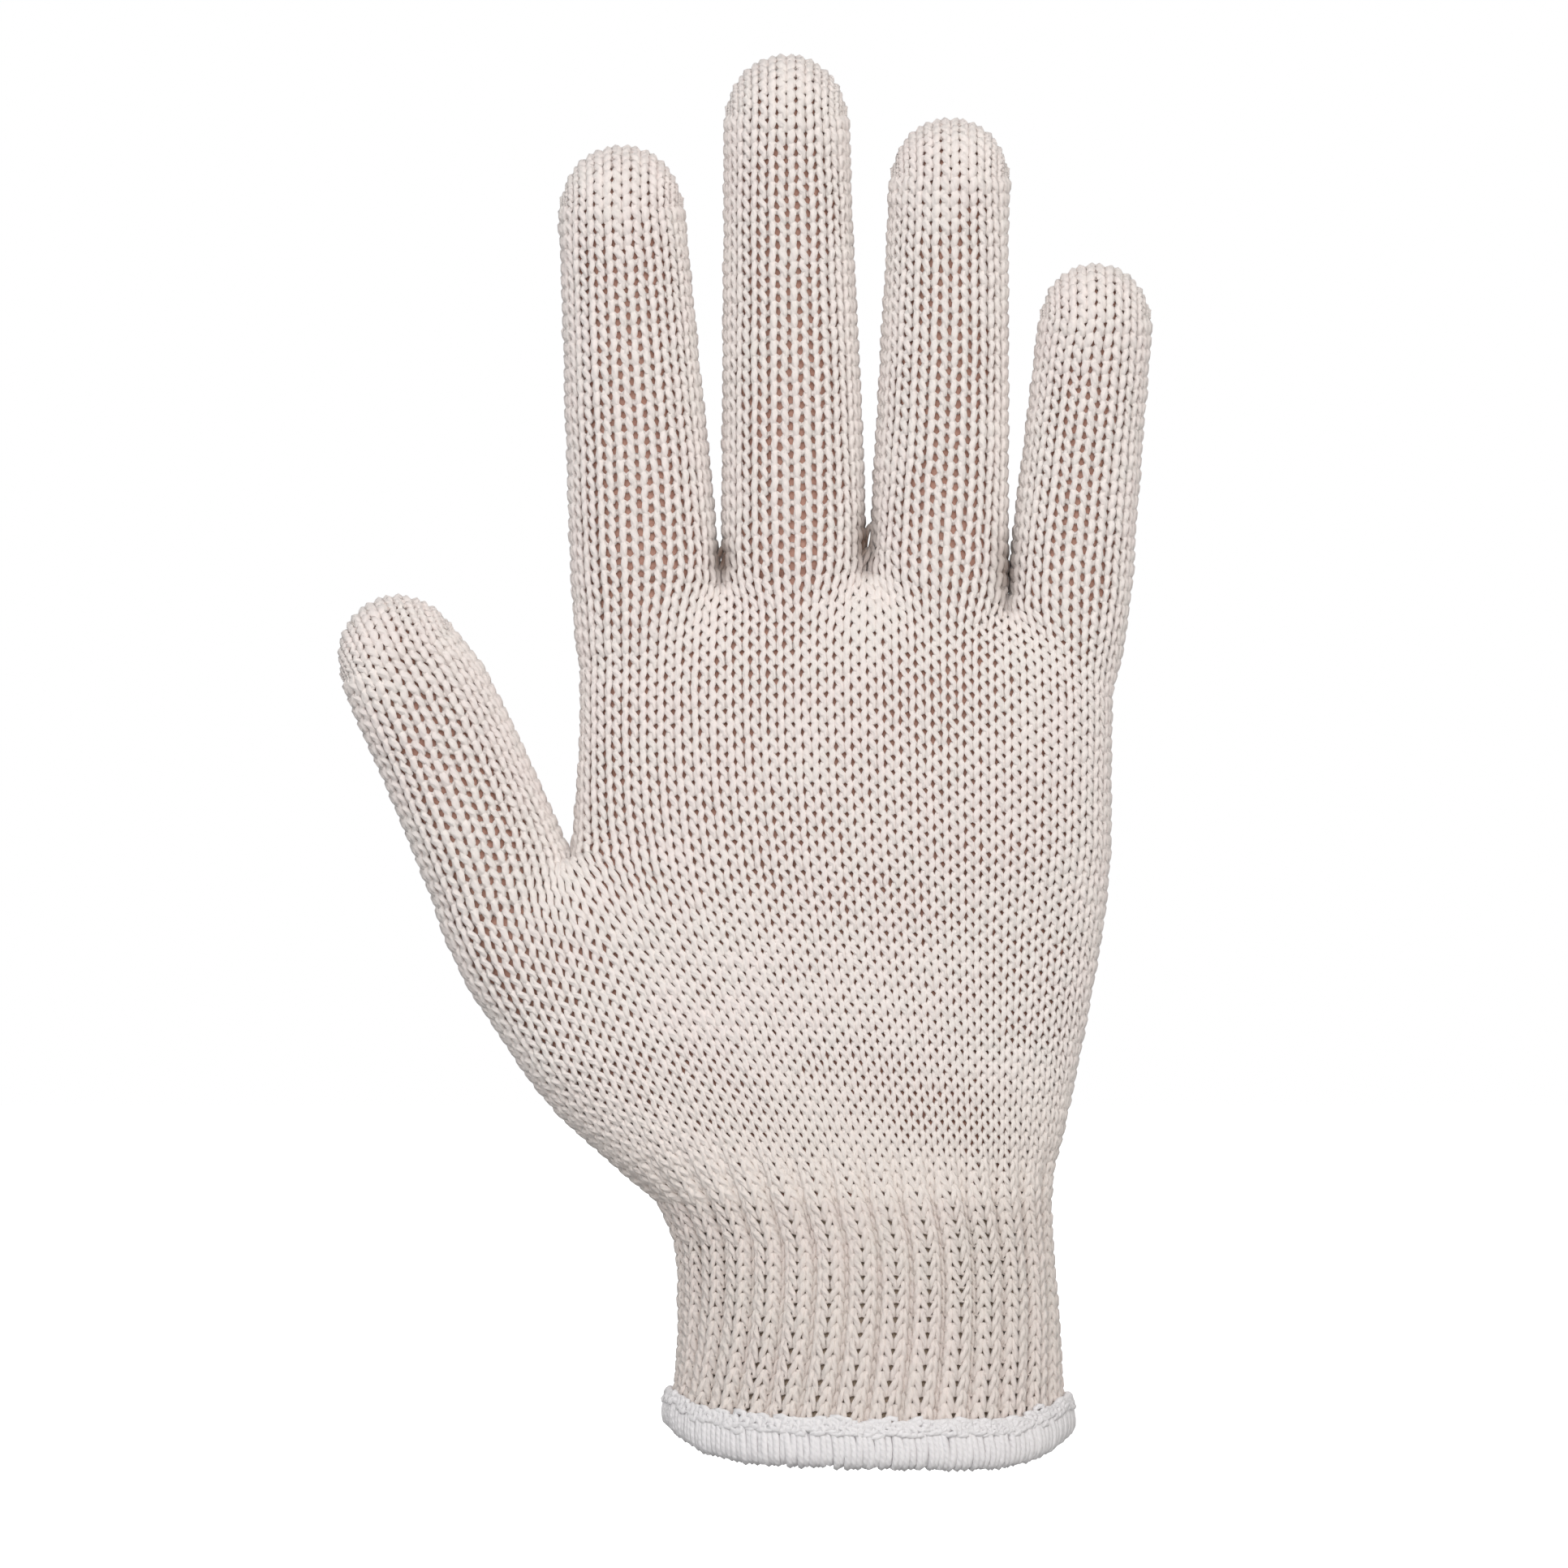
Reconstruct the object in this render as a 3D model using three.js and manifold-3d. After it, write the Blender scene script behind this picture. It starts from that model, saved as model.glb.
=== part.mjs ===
// String knit liner glove in its worn form: millimetres, +Z towards the fingertips, -Y out of the palm side,
// thumb on -X, origin at the centre of the wrist opening. The glove is one seamless knit, made as the glove
// machine makes it: four finger tubes joined into a four-finger palm, a thumb tube joined below it into a
// five-finger palm, a ribbed elastic cuff, and a white overlock thread round the raw edge.
import * as THREE from "three";
import { mergeVertices } from "three/addons/utils/BufferGeometryUtils.js";
import Module from "manifold-3d";

const wasm = await Module();
wasm.setup();

// Driving sizes
const WALL = 2.0;             // thickness of the knit
const GAP = 0.3;              // clearance between neighbouring pieces
const CUFF_BOTTOM = 7.0;      // where the overlock ends and the rib starts
const CUFF_TOP = 41.0;        // where the rib ends and the plain knit starts
const THUMB_CROTCH = { x: -50.3, z: 97.2 };
const FAR = 260;              // past the glove on every side
const KNIT_COLOUR = 0xe0d6cb;
const THREAD_COLOUR = 0xeceef2;

// Sections of the cuff and of the palm: left and right edge as seen on the palm side, depth from palm to back,
// and the squareness of the section (2 is an ellipse). The palm's left edge is the outline of the thumb's base
// up to the web, and the palm's own side above it.
const CUFF_SECTIONS = [
  { z: 7, left: -33.6, right: 33.6, depth: 47, square: 2.1 },
  { z: 17, left: -32.6, right: 32.9, depth: 45, square: 2.1 },
  { z: 26, left: -32.6, right: 32.3, depth: 43.5, square: 2.1 },
  { z: 34, left: -33.3, right: 31.7, depth: 41.5, square: 2.1 },
  { z: 38, left: -34.9, right: 31.5, depth: 40.5, square: 2.15 },
  { z: 41, left: -37.2, right: 31.4, depth: 39.5, square: 2.2 },
];
const PALM_SECTIONS = [
  { z: 41, left: -37.2, right: 31.4, depth: 39.5, square: 2.2 },
  { z: 46, left: -42.5, right: 31.9, depth: 37.5, square: 2.25 },
  { z: 54, left: -50.5, right: 33.9, depth: 35, square: 2.3 },
  { z: 64, left: -59.4, right: 35.9, depth: 34, square: 2.3 },
  { z: 76, left: -67.4, right: 38.3, depth: 33, square: 2.3 },
  { z: 88, left: -73.0, right: 40.2, depth: 32, square: 2.4 },
  { z: 95, left: -62.0, right: 40.9, depth: 31.5, square: 2.5 },
  { z: 101, left: -50.4, right: 41.4, depth: 31, square: 2.6 },
  { z: 116, left: -49.4, right: 41.4, depth: 29.5, square: 2.8 },
  { z: 128, left: -49.4, right: 42.0, depth: 27, square: 3.1 },
  { z: 137, left: -49.2, right: 42.2, depth: 22.5, square: 3.2 },
  { z: 145, left: -45.0, right: 38.3, depth: 10, square: 3.2 },
];
// The thumb side curves towards the palm side, by SIDE_BEND at SIDE_BEND_REACH past SIDE_BEND_START.
const SIDE_BEND = 9;
const SIDE_BEND_START = -30;
const SIDE_BEND_REACH = 45;

// Each finger runs straight in the front view, from its root to its tip, and bends a little to the palm side.
// CROTCHES are the ends of the root lines, from the index finger's outer side to the little finger's.
const ROOT_Z = 148;
const FINGERS = [
  { name: "index_finger", rootX: -37.8, tipX: -41.9, tipZ: 219.5, rootWidth: 25.4, tipWidth: 22.0, bend: 4 },
  { name: "middle_finger", rootX: -12.5, tipX: -13.9, tipZ: 234.5, rootWidth: 24.8, tipWidth: 21.9, bend: 6 },
  { name: "ring_finger", rootX: 11.8, tipX: 13.9, tipZ: 223.2, rootWidth: 23.8, tipWidth: 21.1, bend: 6 },
  { name: "little_finger", rootX: 33.8, tipX: 39.5, tipZ: 199.0, rootWidth: 21.9, tipWidth: 19.8, bend: 5 },
];
const FINGER_DEPTH = 0.88;    // depth of a finger for each millimetre of its width
const FINGER_START_Z = 127;   // fingers start inside the palm, a little thinner
const FINGER_START_SCALE = 0.72;
const FINGER_FULL_Z = 140;    // where they have their full width
const FINGER_SQUARE = 2.1;
const CROTCHES = [
  { x: -54, z: 145.0 },
  { x: -24.9, z: 145.0 },
  { x: -0.4, z: 147.4 },
  { x: 23.4, z: 140.6 },
  { x: 49, z: 139.5 },
];
// The palm's top follows the webs: it is lifted by middle + slope * x + curve * x * x, from WEB_LIFT_START up.
const WEB_LIFT = { middle: 2.4, slope: -0.1, curve: -0.0085 };
const WEB_LIFT_START = 105;

// The thumb's line from inside the palm to the centre of its rounded end, with its width and depth there.
const THUMB_SECTIONS = [
  { x: -49.5, z: 70.0, width: 21.0, depth: 19.0 },
  { x: -57.0, z: 83.0, width: 25.0, depth: 23.0 },
  { x: -64.8, z: 100.0, width: 25.4, depth: 23.0 },
  { x: -72.3, z: 117.0, width: 24.6, depth: 21.8 },
  { x: -76.8, z: 126.0, width: 23.6, depth: 20.8 },
  { x: -79.9, z: 132.2, width: 21.2, depth: 19.2 },
];

// Cuff and hem
const RIBS = 30;
const RIB_HEIGHT = 1.5;       // from the valley between two ribs to the crest
const RIB_PROFILE = [1, 0.1, 0.1];    // the crest of a rib and the two edges of the valley beside it
const RIB_FADE_START = 35;
const HEM_DROOP = 2.2;        // how far the cuff's edge sinks at the front and back and rises at the sides
const HEM_DROOP_FADE = 22;    // the height over which the droop fades out

// Sides and steps of the meshes
const PALM_SIDES = 36;
const FINGER_SIDES = 16;
const FINGER_STEPS = 6;
const THUMB_SIDES = 18;
const THUMB_STEPS = 10;
const DOME_ANGLES = [24, 46, 65, 80];
const CUFF_HEIGHTS = [CUFF_BOTTOM + GAP / 2, 22, RIB_FADE_START, CUFF_TOP - GAP / 2];
const HEM_SIDES = 48;

// Linear interpolation in a table whose rows are sorted by z.
function sectionAt(table, z) {
  const above = table.findIndex((row) => row.z > z);
  const high = table.at(above < 0 ? -1 : Math.max(1, above));
  const low = table[table.indexOf(high) - 1];
  const t = (z - low.z) / (high.z - low.z);
  return Object.fromEntries(Object.keys(low).map((key) => [key, low[key] + t * (high[key] - low[key])]));
}

// Points of a rounded section in its own plane, anticlockwise; a square of 2 makes an ellipse.
function superellipse(sides, halfWidth, halfDepth, square) {
  return Array.from({ length: sides }, (_, i) => {
    const angle = (2 * Math.PI * i) / sides;
    const [c, s] = [Math.cos(angle), Math.sin(angle)];
    return [
      halfWidth * Math.sign(c) * Math.abs(c) ** (2 / square),
      halfDepth * Math.sign(s) * Math.abs(s) ** (2 / square),
    ];
  });
}

function toManifold(geometry) {
  const merged = mergeVertices(geometry, 1e-4);
  return new wasm.Manifold(new wasm.Mesh({
    numProp: 3,
    vertProperties: new Float32Array(merged.attributes.position.array),
    triVerts: new Uint32Array(merged.index.array),
  }));
}

// A closed solid skinned over rings of points, with a flat fan at each end.
function loft(rings) {
  const sides = rings[0].length;
  const points = rings.flat();
  const faces = [];
  for (let r = 0; r + 1 < rings.length; r++) {
    for (let i = 0; i < sides; i++) {
      const [a, b] = [r * sides + i, r * sides + ((i + 1) % sides)];
      faces.push(a, b, b + sides, a, b + sides, a + sides);
    }
  }
  const bottom = points.length;
  const centre = (ring) => ring.reduce((sum, p) => sum.add(p), new THREE.Vector3()).divideScalar(sides);
  points.push(centre(rings[0]), centre(rings.at(-1)));
  const top = (rings.length - 1) * sides;
  for (let i = 0; i < sides; i++) {
    const j = (i + 1) % sides;
    faces.push(bottom, j, i, bottom + 1, top + i, top + j);
  }
  return toManifold(new THREE.BufferGeometry().setFromPoints(points).setIndex(faces));
}

// The thumb side's curve towards the palm side
function bent(point) {
  const share = Math.max(0, SIDE_BEND_START - point.x) / SIDE_BEND_REACH;
  return point.setY(point.y - SIDE_BEND * share * share);
}

// A ring of points round one place of a bent tube; across lies in the front view and deep points to the back.
function ringAcross(centre, along, width, depth, sides, square) {
  const deep = new THREE.Vector3(0, 1, 0).addScaledVector(along, -along.y).normalize();
  const across = new THREE.Vector3().crossVectors(deep, along).normalize();
  return superellipse(sides, width / 2, depth / 2, square).map(([a, d]) =>
    bent(centre.clone().addScaledVector(across, a).addScaledVector(deep, d)));
}

// A tube along a curve, closed by a round end; inset shrinks it on every side for the hollow.
function roundEndedTube(curve, sizeAt, steps, sides, square, inset) {
  const rings = [];
  for (let i = 0; i <= steps; i++) {
    const t = i / steps;
    const { width, depth } = sizeAt(t);
    rings.push(ringAcross(
      curve.getPoint(t), curve.getTangent(t), width - 2 * inset, depth - 2 * inset, sides, square));
  }
  const end = curve.getPoint(1);
  const along = curve.getTangent(1);
  const { width, depth } = sizeAt(1);
  for (const degrees of DOME_ANGLES) {
    const angle = THREE.MathUtils.degToRad(degrees);
    const shrink = Math.cos(angle);
    const rise = (width / 2 - inset) * Math.sin(angle);
    rings.push(ringAcross(
      end.clone().addScaledVector(along, rise), along,
      (width - 2 * inset) * shrink, (depth - 2 * inset) * shrink, sides, square));
  }
  return loft(rings);
}

function fingerSolid(finger, inset) {
  const { rootX, tipX, tipZ, rootWidth, tipWidth, bend } = finger;
  const lean = (tipX - rootX) / (tipZ - ROOT_Z);
  const shoulderZ = tipZ - tipWidth / 2;
  const place = (z) => {
    const share = Math.max(0, (z - ROOT_Z) / (tipZ - ROOT_Z));
    return new THREE.Vector3(rootX + lean * (z - ROOT_Z), -bend * share * share, z);
  };
  const heightAt = (t) => THREE.MathUtils.lerp(FINGER_START_Z, shoulderZ, t);
  const stops = Array.from({ length: FINGER_STEPS + 1 }, (_, i) => place(heightAt(i / FINGER_STEPS)));
  const curve = new THREE.CatmullRomCurve3(stops);
  const sizeAt = (t) => {
    const z = heightAt(t);
    const share = Math.max(0, (z - ROOT_Z) / (shoulderZ - ROOT_Z));
    const emerged = Math.min(1, (z - FINGER_START_Z) / (FINGER_FULL_Z - FINGER_START_Z));
    const scale = THREE.MathUtils.lerp(FINGER_START_SCALE, 1, emerged);
    const width = THREE.MathUtils.lerp(rootWidth, tipWidth, share) * scale;
    return { width, depth: width * FINGER_DEPTH };
  };
  return roundEndedTube(curve, sizeAt, FINGER_STEPS, FINGER_SIDES, FINGER_SQUARE, inset);
}

function thumbSolid(inset) {
  const curve = new THREE.CatmullRomCurve3(THUMB_SECTIONS.map(({ x, z }) => new THREE.Vector3(x, 0, z)));
  const sizeAt = (t) => {
    const place = t * (THUMB_SECTIONS.length - 1);
    const i = Math.min(THUMB_SECTIONS.length - 2, Math.floor(place));
    const [low, high] = [THUMB_SECTIONS[i], THUMB_SECTIONS[i + 1]];
    return {
      width: THREE.MathUtils.lerp(low.width, high.width, place - i),
      depth: THREE.MathUtils.lerp(low.depth, high.depth, place - i),
    };
  };
  return roundEndedTube(curve, sizeAt, THUMB_STEPS, THUMB_SIDES, FINGER_SQUARE, inset);
}

function webLift(x, z) {
  const share = THREE.MathUtils.smoothstep(z, WEB_LIFT_START, ROOT_Z);
  const across = THREE.MathUtils.clamp(x, CROTCHES[1].x, CROTCHES[3].x);
  return share * (WEB_LIFT.middle + WEB_LIFT.slope * across + WEB_LIFT.curve * across * across);
}

function palmRing(z, inset) {
  const { left, right, depth, square } = sectionAt(PALM_SECTIONS, z);
  return superellipse(PALM_SIDES, (right - left) / 2 - inset, depth / 2 - inset, square).map(([a, d]) => {
    const x = (left + right) / 2 + a;
    return bent(new THREE.Vector3(x, d, z + webLift(x, z)));
  });
}

function palmSolid(inset) {
  const heights = PALM_SECTIONS.map((row) => row.z).filter((z) => z <= PALM_SECTIONS.at(-1).z - 2 * inset);
  const rings = heights.map((z) => palmRing(z, inset));
  rings.unshift(palmRing(CUFF_TOP, inset).map((p) => p.setZ(CUFF_TOP - 1)));
  return loft(rings);
}

function union(solids) {
  return solids.reduce((all, one) => all.add(one));
}

// A prism from front to back that covers a region of the front view, grown or shrunk by offset.
function region(corners, offset) {
  const centre = corners.reduce((sum, c) => sum.add(new THREE.Vector2(...c)), new THREE.Vector2())
    .divideScalar(corners.length);
  const moved = corners.map((corner, i) => {
    const here = new THREE.Vector2(...corner);
    const before = new THREE.Vector2(...corners.at(i - 1));
    const after = new THREE.Vector2(...corners[(i + 1) % corners.length]);
    const [n1, n2] = [[before, here], [here, after]].map(([p, q]) => {
      const edge = q.clone().sub(p).normalize();
      const normal = new THREE.Vector2(edge.y, -edge.x);
      return normal.dot(p.clone().sub(centre)) < 0 ? normal.negate() : normal;
    });
    return here.clone().addScaledVector(n1.clone().add(n2), offset / (1 + n1.dot(n2)));
  });
  const prism = new THREE.ExtrudeGeometry(new THREE.Shape(moved), { depth: 2 * FAR, bevelEnabled: false });
  prism.deleteAttribute("normal");
  prism.deleteAttribute("uv");
  prism.rotateX(Math.PI / 2).translate(0, FAR, 0);
  return toManifold(prism);
}

// The regions of the front view that belong to each piece, as corners x, z
const fingerRegion = (i) => [
  [CROTCHES[i].x, CROTCHES[i].z],
  [CROTCHES[i + 1].x, CROTCHES[i + 1].z],
  [CROTCHES[i + 1].x, FAR],
  [CROTCHES[i].x, FAR],
];
const THUMB_REGION = [
  [THUMB_CROTCH.x, THUMB_CROTCH.z],
  [-59.5, 150],
  [-100, 165],
  [-110, 110],
  [-88, 82],
];
const regionAbove = (z) => [
  [-FAR, z],
  [FAR, z],
  [FAR, FAR],
  [-FAR, FAR],
];

const outer = union([palmSolid(0), thumbSolid(0), ...FINGERS.map((f) => fingerSolid(f, 0))]);
const hollow = union([palmSolid(WALL), thumbSolid(WALL), ...FINGERS.map((f) => fingerSolid(f, WALL))]);
const shell = outer.subtract(hollow).intersect(region(regionAbove(CUFF_TOP), -GAP / 2));
const fingersOut = union(FINGERS.map((_, i) => region(fingerRegion(i), GAP / 2)));
const thumbOut = region(THUMB_REGION, GAP / 2);
const upperOut = region(regionAbove(THUMB_CROTCH.z), GAP / 2);

// The largest body of a cut, without slivers
function mainBody(solid) {
  return solid.decompose().reduce((best, one) => (one.volume() > best.volume() ? one : best));
}

const pieces = new Map();
FINGERS.forEach((finger, i) => {
  pieces.set(finger.name, mainBody(shell.intersect(region(fingerRegion(i), -GAP / 2))));
});
pieces.set("thumb", mainBody(shell.intersect(region(THUMB_REGION, -GAP / 2))));
pieces.set("four_finger_palm", mainBody(
  shell.subtract(fingersOut).subtract(thumbOut).intersect(region(regionAbove(THUMB_CROTCH.z), -GAP / 2))));
pieces.set("five_finger_palm", mainBody(shell.subtract(fingersOut).subtract(thumbOut).subtract(upperOut)));

// The cuff's edge hangs lower in the middle of the front and back than at the sides.
function drooped(point, depth) {
  const share = (2 * point.y) / depth;
  const fade = Math.max(0, 1 - point.z / HEM_DROOP_FADE);
  return point.setZ(point.z + fade * HEM_DROOP * (1 - 2 * share * share));
}

// The cuff: a corrugated wall whose ribs fade out where the plain knit starts.
function cuffRing(z, inset) {
  const { left, right, depth, square } = sectionAt(CUFF_SECTIONS, z);
  const fade = 1 - THREE.MathUtils.smoothstep(z, RIB_FADE_START, CUFF_TOP);
  const edge = superellipse(RIBS * RIB_PROFILE.length, (right - left) / 2, depth / 2, square);
  return edge.map(([a, d], i) => {
    const drop = inset + fade * RIB_HEIGHT * (1 - RIB_PROFILE[i % RIB_PROFILE.length]);
    const length = Math.hypot(a, d);
    const inwards = (length - drop) / length;
    return drooped(bent(new THREE.Vector3((left + right) / 2 + a * inwards, d * inwards, z)), depth);
  });
}

function cuffSolid(inset, past) {
  const rings = CUFF_HEIGHTS.map((z) => cuffRing(z, inset));
  rings[0].forEach((p) => p.setZ(p.z - past));
  rings.at(-1).forEach((p) => p.setZ(p.z + past));
  return loft(rings);
}
pieces.set("rib_cuff", cuffSolid(0, 0).subtract(cuffSolid(WALL, 1)));

// The overlocked edge: a rounded band wrapped over the cuff's raw end.
// out is measured outwards from the cuff's outer face, up from the wrist opening.
const HEM_PROFILE = [
  { out: 0.3, up: 6.7 },
  { out: 1.3, up: 4.6 },
  { out: 1.4, up: 2.0 },
  { out: 0.3, up: 0.0 },
  { out: -1.9, up: 0.0 },
  { out: -3.0, up: 2.0 },
  { out: -2.9, up: 4.6 },
  { out: -2.0, up: 6.7 },
];

function hemSolid() {
  const { left, right, depth, square } = CUFF_SECTIONS[0];
  const rows = HEM_PROFILE.length;
  const points = HEM_PROFILE.flatMap(({ out, up }) =>
    superellipse(HEM_SIDES, (right - left) / 2 + out, depth / 2 + out, square)
      .map(([a, d]) => drooped(bent(new THREE.Vector3((left + right) / 2 + a, d, up)), depth)));
  const faces = [];
  for (let r = 0; r < rows; r++) {
    for (let i = 0; i < HEM_SIDES; i++) {
      const [here, next] = [r * HEM_SIDES, ((r + 1) % rows) * HEM_SIDES];
      const j = (i + 1) % HEM_SIDES;
      faces.push(here + i, next + j, here + j, here + i, next + i, next + j);
    }
  }
  return toManifold(new THREE.BufferGeometry().setFromPoints(points).setIndex(faces));
}
pieces.set("hem_overlock", hemSolid());

function toMesh(name, solid) {
  const { numProp, numVert, vertProperties, triVerts } = solid.getMesh();
  const positions = new Float32Array(numVert * 3);
  for (let i = 0; i < numVert; i++) {
    positions.set(vertProperties.subarray(i * numProp, i * numProp + 3), 3 * i);
  }
  const geometry = new THREE.BufferGeometry()
    .setAttribute("position", new THREE.BufferAttribute(positions, 3))
    .setIndex(new THREE.BufferAttribute(triVerts, 1));
  geometry.computeVertexNormals();
  const colour = name === "hem_overlock" ? THREAD_COLOUR : KNIT_COLOUR;
  const material = new THREE.MeshStandardMaterial({ color: colour, roughness: 0.95, metalness: 0 });
  const mesh = new THREE.Mesh(geometry, material);
  mesh.name = name;
  return mesh;
}

const glove = new THREE.Group();
for (const [name, solid] of pieces) glove.add(toMesh(name, solid));

export default glove;
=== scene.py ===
import math
from functools import partial

import bpy
import numpy as np
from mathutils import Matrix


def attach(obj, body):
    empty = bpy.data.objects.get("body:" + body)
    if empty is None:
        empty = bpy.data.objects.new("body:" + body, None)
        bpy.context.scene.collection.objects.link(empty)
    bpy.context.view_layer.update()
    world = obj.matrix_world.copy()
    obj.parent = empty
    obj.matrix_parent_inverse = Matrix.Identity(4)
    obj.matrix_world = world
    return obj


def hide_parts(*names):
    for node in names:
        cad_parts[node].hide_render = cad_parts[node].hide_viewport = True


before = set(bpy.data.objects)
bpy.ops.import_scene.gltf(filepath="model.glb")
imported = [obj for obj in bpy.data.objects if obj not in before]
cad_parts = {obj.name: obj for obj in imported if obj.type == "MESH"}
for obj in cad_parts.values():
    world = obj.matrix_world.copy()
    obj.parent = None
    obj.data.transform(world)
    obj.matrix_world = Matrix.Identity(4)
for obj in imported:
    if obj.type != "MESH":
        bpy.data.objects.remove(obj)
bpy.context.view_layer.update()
bpy.ops.object.select_all(action="DESELECT")
dice = np.random.default_rng(seed=31)
scene = bpy.context.scene

# The studio: a pale floor below the glove, which is held up by its wrist opening, under large soft lights.
# The camera looks straight at the palm side, level with the middle of the glove.
MM = 0.001
VIEW_CENTRE = (-14.3, 111.4)   # x, z in the middle of the picture, mm
VIEW_WIDTH = 266.0             # width of the picture at the glove, mm
CAMERA_DISTANCE = 2400.0
FLOOR_Z = -80.0
SENSOR = 36.0

camera_data = bpy.data.cameras.new("studio_camera")
camera_data.sensor_width = SENSOR
camera_data.lens = SENSOR * CAMERA_DISTANCE / VIEW_WIDTH
camera = bpy.data.objects.new("studio_camera", camera_data)
scene.collection.objects.link(camera)
camera.location = (VIEW_CENTRE[0] * MM, -CAMERA_DISTANCE * MM, VIEW_CENTRE[1] * MM)
camera.rotation_euler = (math.pi / 2, 0, 0)
scene.camera = camera
scene.view_settings.view_transform = "Standard"

# name, place in m, power in W, width and height in m, colour
STUDIO_LIGHTS = [
    ("key_light", (-0.05, -1.1, 0.62), 9.2, 1.0, 1.0, (1, 1, 1)),
    ("right_fill", (0.95, -0.75, 0.3), 3.2, 0.7, 1.0, (1, 0.95, 0.88)),
    ("left_fill", (-1.0, -0.75, 0.45), 2.6, 0.7, 1.0, (1, 1, 1)),
    ("low_fill", (0.1, -1.1, -0.35), 1.4, 1.2, 0.5, (1, 1, 1)),
    ("back_light", (0.3, 1.1, 0.7), 7.0, 1.0, 1.0, (1, 1, 1)),
]
for name, location, power, width, height, colour in STUDIO_LIGHTS:
    data = bpy.data.lights.new(name, "AREA")
    data.color = colour
    data.shape = "RECTANGLE"
    data.size = width
    data.size_y = height
    data.energy = power
    light = bpy.data.objects.new(name, data)
    scene.collection.objects.link(light)
    light.location = location
    aim = np.array([VIEW_CENTRE[0] * MM, 0, VIEW_CENTRE[1] * MM]) - np.array(location)
    pitch = math.atan2(math.hypot(aim[0], aim[1]), -aim[2])
    light.rotation_euler = (pitch, 0, math.atan2(aim[1], aim[0]) - math.pi / 2)


class Shade:
    """A socket of a node tree, so that sums of sockets are written as Python expressions."""

    def __init__(self, tree, socket=None):
        self.tree = tree
        self.socket = socket

    def node(self, kind, inputs=None, output=0, **settings):
        """The output of a new node, whose settings are set first; inputs maps sockets to values or links."""
        node = self.tree.nodes.new(kind)
        for name, value in settings.items():
            setattr(node, name, value)
        for name, value in (inputs or {}).items():
            if isinstance(value, Shade):
                self.tree.links.new(value.socket, node.inputs[name])
            else:
                node.inputs[name].default_value = value
        return Shade(self.tree, node.outputs[output])

    def maths(self, operation, *values):
        return self.node("ShaderNodeMath", dict(enumerate(values)), operation=operation)

    def mixed(self, first, second, factor):
        """A colour between two colours."""
        return self.node("ShaderNodeMix", {0: factor, 6: first, 7: second}, output=2, data_type="RGBA")

    def ranged(self, low, high, start=0.0, end=1.0, kind="LINEAR"):
        """This value from low to high as one from start to end, held at both ends."""
        inputs = {0: self, 1: low, 2: high, 3: start, 4: end}
        return self.node("ShaderNodeMapRange", inputs, clamp=True, interpolation_type=kind)

    def vector_maths(self, operation, *values):
        return self.node("ShaderNodeVectorMath", dict(enumerate((self, *values))), operation=operation)

    def length(self):
        return self.node("ShaderNodeVectorMath", {0: self}, output="Value", operation="LENGTH")

    def noise(self, scale, detail):
        """Noise read at this place."""
        return self.node("ShaderNodeTexNoise", {"Vector": self, "Scale": scale, "Detail": detail})

    def into(self, socket):
        self.tree.links.new(self.socket, socket)

    def __add__(self, other):
        return self.maths("ADD", self, other)

    def __mul__(self, other):
        return self.maths("MULTIPLY", self, other)

    __radd__ = __add__
    __rmul__ = __mul__


def new_paint(name, levels):
    """A new material with some of its shader's levels set, that shader, and a Shade to add nodes with."""
    material = bpy.data.materials.new(name)
    material.use_nodes = True
    shader = material.node_tree.nodes["Principled BSDF"]
    for socket, value in levels.items():
        shader.inputs[socket].default_value = value
    return material, shader, Shade(material.node_tree)


WORLD_LIGHT = 0.30             # of the white that the camera sees behind the glove
FLOOR_SIZE = 12
GLOW_REACH = (0.12, 0.45)      # m from the glove, over which the floor's own light grows to white
GLOW_LEVELS = (0.3, 1.0)
world = bpy.data.worlds.new("studio")
scene.world = world
world.use_nodes = True
world.node_tree.nodes.clear()
sky = Shade(world.node_tree)
ray = sky.node("ShaderNodeLightPath", output="Is Camera Ray")
strength = ray * (1 - WORLD_LIGHT) + WORLD_LIGHT
shown = sky.node("ShaderNodeBackground", {"Color": (1, 1, 1, 1), "Strength": strength})
shown.into(world.node_tree.nodes.new("ShaderNodeOutputWorld").inputs["Surface"])

bpy.ops.mesh.primitive_plane_add(size=FLOOR_SIZE, location=(0, 0, FLOOR_Z * MM))
floor = bpy.context.object
bpy.ops.object.transform_apply(location=True)
floor.name = "studio_floor"
floor_paint, floor_shader, shade = new_paint("studio_floor", {
    "Base Color": (0.9, 0.9, 0.9, 1),
    "Roughness": 1.0,
    "Specular IOR Level": 0.0,
    "Emission Color": (1, 1, 1, 1),
})
away = shade.node("ShaderNodeTexCoord", output="Object").length()
away.ranged(*GLOW_REACH, *GLOW_LEVELS, kind="SMOOTHSTEP").into(floor_shader.inputs["Emission Strength"])
floor.data.materials.append(floor_paint)
floor.visible_diffuse = False
bpy.ops.object.select_all(action="DESELECT")


# The worn form of the knit, in mm: one seamless tube of cotton string from the wrist over the palm into five
# closed tubes. Every stitch shares its corners with its neighbours, so the corners are laid out first, on the
# middle of the wall, and then evened out as elastic yarn evens out its loops.
TAU = 2 * np.pi
WALL = 2.0
INSET = WALL / 2
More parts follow.
